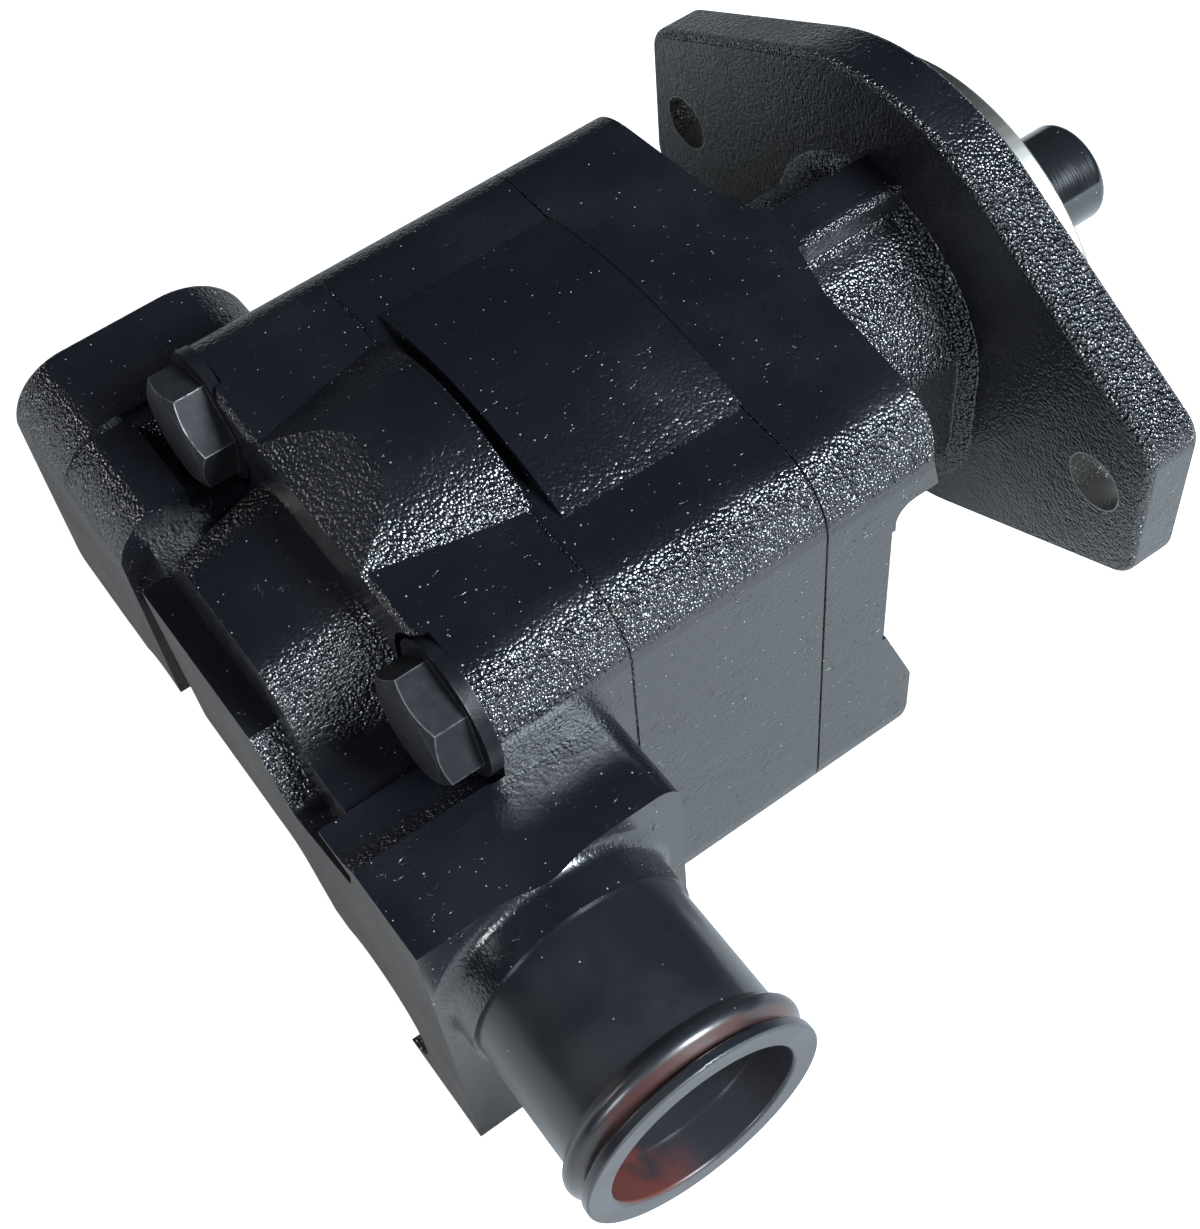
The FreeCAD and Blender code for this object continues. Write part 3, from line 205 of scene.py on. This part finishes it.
neck_grain_from, neck_grain_to = -0.026, -0.014
neck_grain_share = 1.6


def blend_colour(tree, share, first, second):
    """The first colour where the share is zero, and the second where it is one."""
    made = add(tree, "Mix", {"data_type": "RGBA"})
    fill(tree, made.inputs[0], share)
    fill(tree, made.inputs[6], first)
    fill(tree, made.inputs[7], second)
    return made.outputs[2]


def new_group(name, inputs, outputs):
    """A shader group with named number and vector sockets."""
    tree = bpy.data.node_groups.new(name, "ShaderNodeTree")
    for direction, sockets in (("INPUT", inputs), ("OUTPUT", outputs)):
        for label, kind, value in sockets:
            socket = tree.interface.new_socket(label, in_out=direction,
                                               socket_type="NodeSocket" + kind)
            if value is not None:
                socket.default_value = value
    entry = tree.nodes.new("NodeGroupInput").outputs
    leave = tree.nodes.new("NodeGroupOutput").inputs
    return tree, entry, leave


def sand_grain_group():
    """The skin that moulding sand leaves: pebbles, soft swells, worm pits, and pale specks that are
    partly dust and partly painted glints.
    """
    tree, entry, leave = new_group("sand grain", [
        ("Spot", "Vector", None), ("Grain", "Float", grain_scale), ("Roughness", "Float", 1.0),
        ("Pitted", "Float", 1.0),
    ], [("Height", "Float", None), ("Pits", "Float", None), ("Dust and glints", "Float", None)])
    spot = entry["Spot"]
    pebble = add(tree, "TexVoronoi", Vector=spot, Scale=entry["Grain"]).outputs["Distance"]
    pebble = calc(tree, "MULTIPLY", pebble, pebble)
    broad = calc(tree, "MULTIPLY", entry["Grain"], 0.42)
    lump = add(tree, "TexNoise", Vector=spot, Scale=broad, Detail=2.0,
               Roughness=0.6).outputs[0]
    swell = add(tree, "TexNoise", Vector=spot, Scale=90.0, Detail=1.0).outputs[0]
    worm = add(tree, "TexNoise", Vector=spot, Scale=420.0, Detail=1.0,
               Distortion=0.8).outputs[0]
    rare = add(tree, "TexNoise", Vector=spot, Scale=70.0, Detail=0.0).outputs[0]
    pits = calc(tree, "MULTIPLY", ramp(tree, worm, 0.64, 0.69), ramp(tree, rare, 0.44, 0.54))
    pits = calc(tree, "MULTIPLY", pits, entry["Pitted"])
    sand = calc(tree, "SUBTRACT", calc(tree, "MULTIPLY", lump, lump_share),
                calc(tree, "MULTIPLY", pebble, pebble_share))
    sand = calc(tree, "MULTIPLY", sand, entry["Roughness"])
    soft = calc(tree, "MULTIPLY_ADD", swell, swell_share, sand)
    deep = calc(tree, "SUBTRACT", soft, calc(tree, "MULTIPLY", pits, pit_share))
    dot = add(tree, "TexVoronoi", Vector=spot, Scale=600.0).outputs
    size = add(tree, "SeparateXYZ", Vector=dot["Color"]).outputs[0]
    speck = calc(tree, "MULTIPLY_ADD", size, -0.22, dot["Distance"])
    fill(tree, leave["Height"], deep)
    fill(tree, leave["Pits"], pits)
    fill(tree, leave["Dust and glints"], ramp(tree, speck, -0.08, -0.125))
    return tree


sand_grain = sand_grain_group()


def new_finish(name, **constants):
    """A new material: its tree, its Principled shader, and the place on the piece in metres."""
    material = bpy.data.materials.new(name)
    tree = empty_tree(material)
    skin = add(tree, "BsdfPrincipled", **constants)
    add(tree, "OutputMaterial", Surface=skin.outputs[0])
    spot = tree.nodes.new("ShaderNodeTexCoord").outputs["Object"]
    return material, tree, skin, spot


def parts_of(tree, vector):
    """The x, y and z of a place or a direction."""
    return add(tree, "SeparateXYZ", Vector=vector).outputs


def distance_from(tree, first, first_centre, second, second_centre):
    """How far a spot lies from an axis, seen along that axis."""
    across = calc(tree, "SUBTRACT", first, first_centre)
    upward = calc(tree, "SUBTRACT", second, second_centre)
    square = calc(tree, "MULTIPLY", across, across)
    return calc(tree, "SQRT", calc(tree, "MULTIPLY_ADD", upward, upward, square))


def painted_iron(name, bare, shaded=None):
    """Gloss black paint over cast iron, and bare turned iron where the mask says so."""
    material, tree, skin, spot = new_finish(name, IOR=1.78)
    x, y, z = parts_of(tree, spot)
    facing = tree.nodes.new("ShaderNodeTexCoord").outputs["Normal"]
    facing_x, facing_y, facing_z = parts_of(tree, facing)
    side = ramp(tree, calc(tree, "ABSOLUTE", facing_y), flat_from, flat_to)
    end = ramp(tree, calc(tree, "ABSOLUTE", facing_x), flat_from, flat_to)
    top = ramp(tree, calc(tree, "ABSOLUTE", facing_z), top_from, top_to)
    rough = calc(tree, "SUBTRACT", 1.0, calc(tree, "MULTIPLY", side, smooth_on_sides))
    rough = calc(tree, "SUBTRACT", rough, calc(tree, "MULTIPLY", end, smooth_on_ends))
    rough = calc(tree, "SUBTRACT", rough, calc(tree, "MULTIPLY", top, smooth_on_tops))
    sand = tree.nodes.new("ShaderNodeGroup")
    sand.node_tree = sand_grain
    fill(tree, sand.inputs["Spot"], spot)
    mask, lines, coarse = bare(tree, x, y, z, end)
    fill(tree, sand.inputs["Roughness"], calc(tree, "MULTIPLY", rough, coarse))
    fill(tree, sand.inputs["Pitted"], ramp(tree, side, 0.0, 1.0, 0.25, 1.0))

    blotch = add(tree, "TexNoise", Vector=spot, Scale=34.0, Detail=4.0).outputs[0]
    film = blend_colour(tree, ramp(tree, blotch, 0.4, 0.72, 0.0, 0.5), paint_black, paint_thin)
    # Painted shade: darker colour in the worm pits.
    film = blend_colour(tree, sand.outputs["Pits"], film, painted_shade_in_pits)
    # Pale specks, partly dust and partly painted glints.
    film = blend_colour(tree, calc(tree, "MULTIPLY", sand.outputs["Dust and glints"], 0.6), film,
                        pale_speck_grey)
    # Painted shade where the shaded mask says so.
    if shaded:
        film = blend_colour(tree, shaded(tree, x, y, z), film, paint_in_shade)
    iron = blend_colour(tree, ramp(tree, blotch, 0.42, 0.66), turned_iron, turned_stain)
    fill(tree, skin.inputs["Base Color"], blend_colour(tree, mask, film, iron))
    fill(tree, skin.inputs["Metallic"], mask)
    gloss = ramp(tree, blotch, 0.3, 0.7, 0.19, 0.3)
    turned = calc(tree, "MULTIPLY_ADD", lines, 0.1, 0.3)
    mixed = add(tree, "Mix", {"data_type": "FLOAT"})
    for socket, value in zip(mixed.inputs[:1] + mixed.inputs[2:4], (mask, gloss, turned)):
        fill(tree, socket, value)
    fill(tree, skin.inputs["Roughness"], mixed.outputs[0])
    painted = calc(tree, "MULTIPLY", sand.outputs["Height"], calc(tree, "SUBTRACT", 1.0, mask))
    metal = calc(tree, "MULTIPLY", calc(tree, "MULTIPLY", lines, 0.06), mask)
    bump = add(tree, "Bump", Height=calc(tree, "ADD", painted, metal), Strength=1.0,
               Distance=grain_depth)
    fill(tree, skin.inputs["Normal"], bump.outputs[0])
    return material


def pilot_and_holes(tree, x, y, z, end):
    """Bare iron on the pilot and in the shaft bore, and half bare iron on the walls of the two
    flange holes, darkened as painted shade.
    """
    radius = distance_from(tree, y, 0.0, z, 0.0)
    ahead = calc(tree, "GREATER_THAN", x, pilot_foot)
    bore = calc(tree, "LESS_THAN", radius, seal_bore_wall)
    from_hole = distance_from(tree, calc(tree, "ABSOLUTE", y), flange_hole_offset, z, 0.0)
    hole = calc(tree, "LESS_THAN", from_hole, flange_hole_wall)
    seam = calc(tree, "MULTIPLY", calc(tree, "LESS_THAN", x, cad_seam_front + seam_tolerance),
                end)
    # Painted shade: the hole walls are only half bare, which darkens them.
    hole = calc(tree, "MULTIPLY", hole, flange_hole_bareness_under_painted_shade)
    mask = calc(tree, "MAXIMUM", calc(tree, "MAXIMUM", ahead, bore),
                calc(tree, "MAXIMUM", hole, seam))
    lines = calc(tree, "SINE", calc(tree, "MULTIPLY", radius, pilot_rings))
    return mask, lines, ramp(tree, x, neck_grain_from, neck_grain_to, 1.0, neck_grain_share)


def dress(material, *names):
    """Gives every material slot of the named pieces the finish."""
    for name in names:
        held = nodes[name].data.materials
        for i in range(len(held)):
            held[i] = material


cad_seam_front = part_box("gear_housing")[1].x
dress(painted_iron("painted iron of shaft end cover", pilot_and_holes), "shaft_end_cover")


# Gear housing
# The middle casting, with the figure-8 bore for the gears. It is milled flat on both joint faces,
# bored, and clamped between the two covers. A small pry notch lies in its front joint; its shade
# and the shade along both joints are painted on.
cad_seam_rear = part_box("gear_housing")[0].x
gear_bore_wall = 0.0266
gear_axis_drop = -0.0444
milling_lines = 9000.0
# Where the painted shade of the pry notch lies.
notch_low, notch_high = -0.012, -0.0035
notch_depth = 0.0011
notch_left_of = -0.055
band_front = cad_seam_rear + 0.0016
band_share = 0.35
shade_fades, shade_full = 0.0006, 0.0002


def joint_faces_and_bores(tree, x, y, z, end):
    """Bare iron in the gear bores and on the milled joint faces."""
    upper = distance_from(tree, y, 0.0, z, 0.0)
    lower = distance_from(tree, y, 0.0, z, gear_axis_drop)
    bore = calc(tree, "LESS_THAN", calc(tree, "MINIMUM", upper, lower), gear_bore_wall)
    front = calc(tree, "GREATER_THAN", x, cad_seam_front - seam_tolerance)
    rear = calc(tree, "LESS_THAN", x, cad_seam_rear + seam_tolerance)
    joint = calc(tree, "MULTIPLY", calc(tree, "MAXIMUM", front, rear), end)
    mask = calc(tree, "MAXIMUM", bore, joint)
    lines = calc(tree, "SINE", calc(tree, "MULTIPLY", z, milling_lines))
    return mask, lines, 1.0


def painted_notch_and_joint_shade(tree, x, y, z):
    """Painted shade: a dark patch where the pry notch lies on the left side, and dark lines along
    both joints.
    """
    low = calc(tree, "GREATER_THAN", z, notch_low)
    high = calc(tree, "LESS_THAN", z, notch_high)
    front = calc(tree, "GREATER_THAN", x, cad_seam_front - notch_depth)
    notch_shade = calc(tree, "MULTIPLY", calc(tree, "MULTIPLY", low, high), front)
    notch_shade = calc(tree, "MULTIPLY", notch_shade, calc(tree, "LESS_THAN", y, notch_left_of))
    band = ramp(tree, x, band_front, band_front - shade_fades)
    band = calc(tree, "MULTIPLY", band, band_share)
    joint = ramp(tree, x, cad_seam_front - shade_fades, cad_seam_front - shade_full)
    return calc(tree, "MAXIMUM", notch_shade, calc(tree, "MAXIMUM", band, joint))


dress(painted_iron("painted iron of gear housing", joint_faces_and_bores, painted_notch_and_joint_shade),
      "gear_housing")


# Port end cover
# The rear casting: bolting flange with a crown, drum, inlet block and outlet boss. The outlet is
# bored and tapped in it, its face is milled round the thread, and the rest is painted black.
outlet_x, outlet_z = -0.165, -0.0222
outlet_thread = 0.0204
outlet_face = 0.0272
outlet_face_y = 0.093
outlet_face_tolerance = 0.0004
outlet_face_rings = 12000.0
outlet_right_of = 0.05
thread_pitch = 0.00212
thread_height = 24.0
block_smooth_to, block_coarse_from = -0.07, -0.06
block_grain_share = 0.15


def outlet_thread_and_face(tree, x, y, z, end):
    """Bare iron in the outlet thread, on the face round it and on the front joint face."""
    radius = distance_from(tree, x, outlet_x, z, outlet_z)
    beyond = calc(tree, "GREATER_THAN", y, outlet_right_of)
    thread = calc(tree, "MULTIPLY", calc(tree, "LESS_THAN", radius, outlet_thread), beyond)
    off_face = calc(tree, "ABSOLUTE", calc(tree, "SUBTRACT", y, outlet_face_y))
    face = calc(tree, "MULTIPLY", calc(tree, "LESS_THAN", radius, outlet_face),
                calc(tree, "LESS_THAN", off_face, outlet_face_tolerance))
    joint = calc(tree, "MULTIPLY", calc(tree, "GREATER_THAN", x, cad_seam_rear - seam_tolerance),
                 end)
    turn = calc(tree, "ARCTAN2", calc(tree, "SUBTRACT", x, outlet_x),
                calc(tree, "SUBTRACT", z, outlet_z))
    helix = calc(tree, "MULTIPLY_ADD", y, 2 * math.pi / thread_pitch, turn)
    ridges = calc(tree, "MULTIPLY", calc(tree, "SINE", helix), thread)
    rings = calc(tree, "SINE", calc(tree, "MULTIPLY", radius, outlet_face_rings))
    mask = calc(tree, "MAXIMUM", calc(tree, "MAXIMUM", thread, face), joint)
    coarse = ramp(tree, y, block_smooth_to, block_coarse_from, block_grain_share, 1.0)
    return mask, calc(tree, "MULTIPLY_ADD", ridges, thread_height, rings), coarse


dress(painted_iron("painted iron of port end cover", outlet_thread_and_face), "port_end_cover")


# Drive shaft and gears
# Two hardened steel gears with ground journals. The drive shaft is one piece with its gear, and its
# free end is sprayed black with the pump, while everything behind the seal stays bright.
painted_from = 0.0067
steel_colour = (0.42, 0.42, 0.43, 1)
steel_tarnish = 0.7
shaft_black = (0.009, 0.010, 0.012, 1)
grinding_lines = (2600.0, 120.0, 120.0)


def ground_steel(name, colour, painted_end=False):
    """Steel with fine grinding lines round it, and black paint on the shaft end if wanted."""
    material, tree, skin, spot = new_finish(name, IOR=1.5, Coat_Roughness=0.06, Coat_IOR=1.5)
    drawn = add(tree, "VectorMath", {"operation": "MULTIPLY"})
    fill(tree, drawn.inputs[0], spot)
    fill(tree, drawn.inputs[1], grinding_lines)
    lines = add(tree, "TexNoise", Vector=drawn.outputs[0], Scale=1.0, Detail=3.0).outputs[0]
    tint = add(tree, "TexNoise", Vector=spot, Scale=60.0, Detail=3.0).outputs[0]
    bare = blend_colour(tree, ramp(tree, tint, 0.4, 0.7, 0.0, 0.5), colour,
                        tuple(steel_tarnish * c for c in colour[:3]) + (1,))
    rough = ramp(tree, lines, 0.3, 0.7, 0.2, 0.34)
    height = calc(tree, "MULTIPLY", lines, 0.3)
    if painted_end:
        covered = calc(tree, "GREATER_THAN", parts_of(tree, spot)[0], painted_from)
        dust = add(tree, "TexVoronoi", Vector=spot, Scale=240.0).outputs["Distance"]
        black = blend_colour(tree, ramp(tree, dust, 0.06, 0.03, 0.0, 0.5), shaft_black,
                             pale_speck_grey)
        bare = blend_colour(tree, covered, bare, black)
        uncovered = calc(tree, "SUBTRACT", 1.0, covered)
        fill(tree, skin.inputs["Metallic"], uncovered)
        fill(tree, skin.inputs["Coat Weight"], covered)
        rough = calc(tree, "SUBTRACT", rough, calc(tree, "MULTIPLY", covered, 0.08))
        flow = add(tree, "TexNoise", Vector=spot, Scale=120.0, Detail=1.0).outputs[0]
        height = calc(tree, "MULTIPLY_ADD", calc(tree, "MULTIPLY", flow, covered), 2.0,
                      calc(tree, "MULTIPLY", height, uncovered))
    else:
        skin.inputs["Metallic"].default_value = 1.0
    fill(tree, skin.inputs["Base Color"], bare)
    fill(tree, skin.inputs["Roughness"], rough)
    bump = add(tree, "Bump", Height=height, Strength=1.0, Distance=0.00003)
    fill(tree, skin.inputs["Normal"], bump.outputs[0])
    return material


dress(ground_steel("painted and ground shaft steel", steel_colour, True), "drive_shaft")
dress(ground_steel("ground gear steel", steel_colour), "driven_gear")


# Key and dowel pins
# Bright drawn steel: a square key in the slot of the shaft, and four ground pins that hold the
# castings in line.
bright_steel = (0.5, 0.5, 0.51, 1)
dress(ground_steel("bright drawn steel", bright_steel), "shaft_key", "dowel_pins_front",
      "dowel_pins_rear")


# Thrust plates and bushings
# Turned bearing bronze. The plates lie against the sides of the gears, and the bushings are
# pressed into the covers round the journals.
bronze_colour = (0.55, 0.36, 0.17, 1)
bronze_stain = (0.32, 0.20, 0.10, 1)
bronze_rings = 9000.0


def turned_bronze():
    """Bronze with the rings of the lathe round the shaft axis, and darker where oil has lain."""
    material, tree, skin, spot = new_finish("turned bearing bronze", Metallic=1.0)
    y, z = parts_of(tree, spot)[1:]
    radius = distance_from(tree, y, 0.0, z, 0.0)
    rings = calc(tree, "SINE", calc(tree, "MULTIPLY", radius, bronze_rings))
    cloud = add(tree, "TexNoise", Vector=spot, Scale=90.0, Detail=4.0).outputs[0]
    fill(tree, skin.inputs["Base Color"], blend_colour(
        tree, ramp(tree, cloud, 0.45, 0.72), bronze_colour, bronze_stain))
    fill(tree, skin.inputs["Roughness"], ramp(tree, cloud, 0.3, 0.7, 0.24, 0.42))
    bump = add(tree, "Bump", Height=rings, Strength=1.0, Distance=0.000006)
    fill(tree, skin.inputs["Normal"], bump.outputs[0])
    return material


dress(turned_bronze(), "thrust_plate_front", "thrust_plate_rear", "bushing_drive_front",
      "bushing_drive_rear", "bushing_driven_front", "bushing_driven_rear")


# Seals
# Moulded black rubber: the lip seal of the shaft, the body seals in the joints, the seals behind
# the thrust plates and the ring round the hose stub. They are oily, with a fine moulded skin.
rubber_black = (0.016, 0.016, 0.017, 1)
rubber_bloom = (0.035, 0.033, 0.031, 1)


def moulded_rubber():
    """Black rubber, paler and glossier where the oil lies on it."""
    material, tree, skin, spot = new_finish("moulded seal rubber", IOR=1.5)
    skin_noise = add(tree, "TexNoise", Vector=spot, Scale=2200.0, Detail=2.0).outputs[0]
    oil = add(tree, "TexNoise", Vector=spot, Scale=140.0, Detail=2.0).outputs[0]
    fill(tree, skin.inputs["Base Color"], blend_colour(
        tree, ramp(tree, oil, 0.4, 0.7), rubber_black, rubber_bloom))
    fill(tree, skin.inputs["Roughness"], ramp(tree, oil, 0.35, 0.65, 0.62, 0.34))
    bump = add(tree, "Bump", Height=skin_noise, Strength=1.0, Distance=0.00002)
    fill(tree, skin.inputs["Normal"], bump.outputs[0])
    return material


dress(moulded_rubber(), "shaft_seal", "body_seal_front", "body_seal_rear", "thrust_seal_front",
      "thrust_seal_rear", "inlet_o_ring")


# Retaining ring
# A snap ring stamped from blued spring steel. It sits in its groove in front of the shaft seal.
spring_blue = (0.11, 0.12, 0.15, 1)
dress(ground_steel("blued spring steel", spring_blue), "seal_retaining_ring")


# Cap screws
# Four forged hexagon screws with rolled threads, blackened and oiled. They clamp the three
# castings together, and their corners have worn bright from the wrench.
def worn_edge_group():
    """Where wrenches and handling have rubbed the corners: one there and zero elsewhere."""
    tree, entry, leave = new_group("worn edges", [
        ("Spot", "Vector", None), ("Width", "Float", 0.0006),
    ], [("Wear", "Float", None)])
    round_normal = add(tree, "Bevel", {"samples": 4}, Radius=entry["Width"]).outputs[0]
    true_normal = tree.nodes.new("ShaderNodeNewGeometry").outputs["Normal"]
    compare = add(tree, "VectorMath", {"operation": "DOT_PRODUCT"})
    fill(tree, compare.inputs[0], round_normal)
    fill(tree, compare.inputs[1], true_normal)
    edge = ramp(tree, compare.outputs["Value"], 0.995, 0.86)
    scrape = add(tree, "TexNoise", Vector=entry["Spot"], Scale=420.0, Detail=3.0).outputs[0]
    fill(tree, leave["Wear"], calc(tree, "MULTIPLY", edge, ramp(tree, scrape, 0.32, 0.56)))
    return tree


worn_edges = worn_edge_group()
screw_black = (0.014, 0.0145, 0.017, 1)
screw_bright = (0.25, 0.25, 0.26, 1)
scale_tint = 1.8
roughness_spread = 0.14


def blackened_steel(name, colour, bright, roughness):
    """Steel under a dull black scale, which is rubbed to a brighter tone on its corners."""
    material, tree, skin, spot = new_finish(name, IOR=1.22)
    wear = tree.nodes.new("ShaderNodeGroup")
    wear.node_tree = worn_edges
    fill(tree, wear.inputs["Spot"], spot)
    wear = wear.outputs["Wear"]
    scale = add(tree, "TexNoise", Vector=spot, Scale=260.0, Detail=4.0,
                Roughness=0.6).outputs[0]
    tone = blend_colour(tree, ramp(tree, scale, 0.4, 0.75, 0.0, 0.5), colour,
                        tuple(scale_tint * c for c in colour[:3]) + (1,))
    fill(tree, skin.inputs["Base Color"], blend_colour(tree, wear, tone, bright))
    fill(tree, skin.inputs["Metallic"], ramp(tree, wear, 0.0, 1.0))
    fill(tree, skin.inputs["Roughness"], ramp(tree, scale, 0.3, 0.7, roughness,
                                              roughness + roughness_spread))
    fine = add(tree, "TexNoise", Vector=spot, Scale=1500.0, Detail=2.0).outputs[0]
    bump = add(tree, "Bump", Height=calc(tree, "MULTIPLY_ADD", scale, 1.4, fine),
               Strength=1.0, Distance=0.00004)
    fill(tree, skin.inputs["Normal"], bump.outputs[0])
    return material


dress(blackened_steel("blackened screw steel", screw_black, screw_bright, 0.46), "cap_screws")


# Washers
# Flat hardened washers, one under each head, punched from strip and painted with the pump.
washer_black = (0.006, 0.0063, 0.0085, 1)
washer_bright = (0.04, 0.04, 0.044, 1)
dress(blackened_steel("painted washer steel", washer_black, washer_bright, 0.34),
      "cap_screw_washers")


# Hose stub
# A steel tube with a rolled bead and a flat lip at its mouth, pushed into the inlet collar against
# an o-ring. It is sprayed satin black inside and out. A grey reflection on its lip and a red one
# inside its mouth are painted on.
stub_axis_x, stub_axis_z = -0.1666, -0.0145
stub_inside, inside_fades = 0.0217, 0.0219
stub_mouth = -0.1319
lip_face, lip_fades = stub_mouth + 0.0003, stub_mouth + 0.0007
groove_starts, groove_full = stub_mouth + 0.0026, stub_mouth + 0.003
groove_fades, groove_ends = stub_mouth + 0.005, stub_mouth + 0.006
red_reflection_full, red_reflection_ends = stub_axis_x - 0.01, stub_axis_x + 0.002
stub_black = (0.0075, 0.0083, 0.0115, 1)
stub_thin = (0.015, 0.015, 0.019, 1)
primer_brown = (0.045, 0.017, 0.015, 1)
red_reflection = (0.085, 0.024, 0.02, 1)
inside_black = (0.018, 0.019, 0.024, 1)
lip_painted_reflection = (0.05, 0.05, 0.055, 1)


def painted_tube():
    """Satin black paint, with primer in the groove of the bead, a painted grey reflection on the
    lip and a painted red reflection inside.
    """
    material, tree, skin, spot = new_finish(
        "painted tube of hose stub", IOR=1.5, Coat_Roughness=0.16, Coat_IOR=1.5)
    x, y, z = parts_of(tree, spot)
    radius = distance_from(tree, x, stub_axis_x, z, stub_axis_z)
    inside = ramp(tree, radius, inside_fades, stub_inside)
    cloud = add(tree, "TexNoise", Vector=spot, Scale=48.0, Detail=4.0).outputs[0]
    black = blend_colour(tree, ramp(tree, cloud, 0.42, 0.7, 0.0, 0.6), stub_black, stub_thin)
    dot = add(tree, "TexVoronoi", Vector=spot, Scale=210.0).outputs["Distance"]
    dust = ramp(tree, dot, 0.045, 0.03, 0.0, 0.5)
    black = blend_colour(tree, dust, black, pale_speck_grey)
    groove = calc(tree, "MULTIPLY", ramp(tree, y, groove_starts, groove_full),
                  ramp(tree, y, groove_ends, groove_fades))
    black = blend_colour(tree, calc(tree, "MULTIPLY", groove, ramp(tree, cloud, 0.35, 0.6)),
                         black, primer_brown)
    lip = ramp(tree, y, lip_fades, lip_face)
    # Painted reflection: the flat face of the lip is lighter grey.
    black = blend_colour(tree, calc(tree, "MULTIPLY", lip, 0.8), black, lip_painted_reflection)
    # Painted reflection: a red-brown patch inside the mouth, on its left side.
    red_reflection_mask = calc(tree, "MULTIPLY", ramp(tree, x, red_reflection_ends, red_reflection_full),
                 ramp(tree, cloud, 0.42, 0.56))
    inside_with_reflection = blend_colour(tree, red_reflection_mask, inside_black, red_reflection)
    fill(tree, skin.inputs["Base Color"], blend_colour(tree, inside, black, inside_with_reflection))
    fill(tree, skin.inputs["Metallic"], calc(tree, "MULTIPLY", inside, 0.1))
    fill(tree, skin.inputs["Roughness"], ramp(tree, cloud, 0.3, 0.7, 0.3, 0.42))
    fill(tree, skin.inputs["Coat Weight"], ramp(tree, lip, 0.0, 1.0, 0.4, 0.0))
    orange_peel = add(tree, "TexNoise", Vector=spot, Scale=420.0, Detail=1.0).outputs[0]
    swell = add(tree, "TexNoise", Vector=spot, Scale=70.0, Detail=1.0).outputs[0]
    relief = calc(tree, "MULTIPLY_ADD", swell, 2.0, orange_peel)
    relief = calc(tree, "ADD", relief, calc(tree, "MULTIPLY", dust, 0.8))
    bump = add(tree, "Bump", Height=relief, Strength=1.0, Distance=0.00005)
    fill(tree, skin.inputs["Normal"], bump.outputs[0])
    return material


dress(painted_tube(), "inlet_hose_stub")
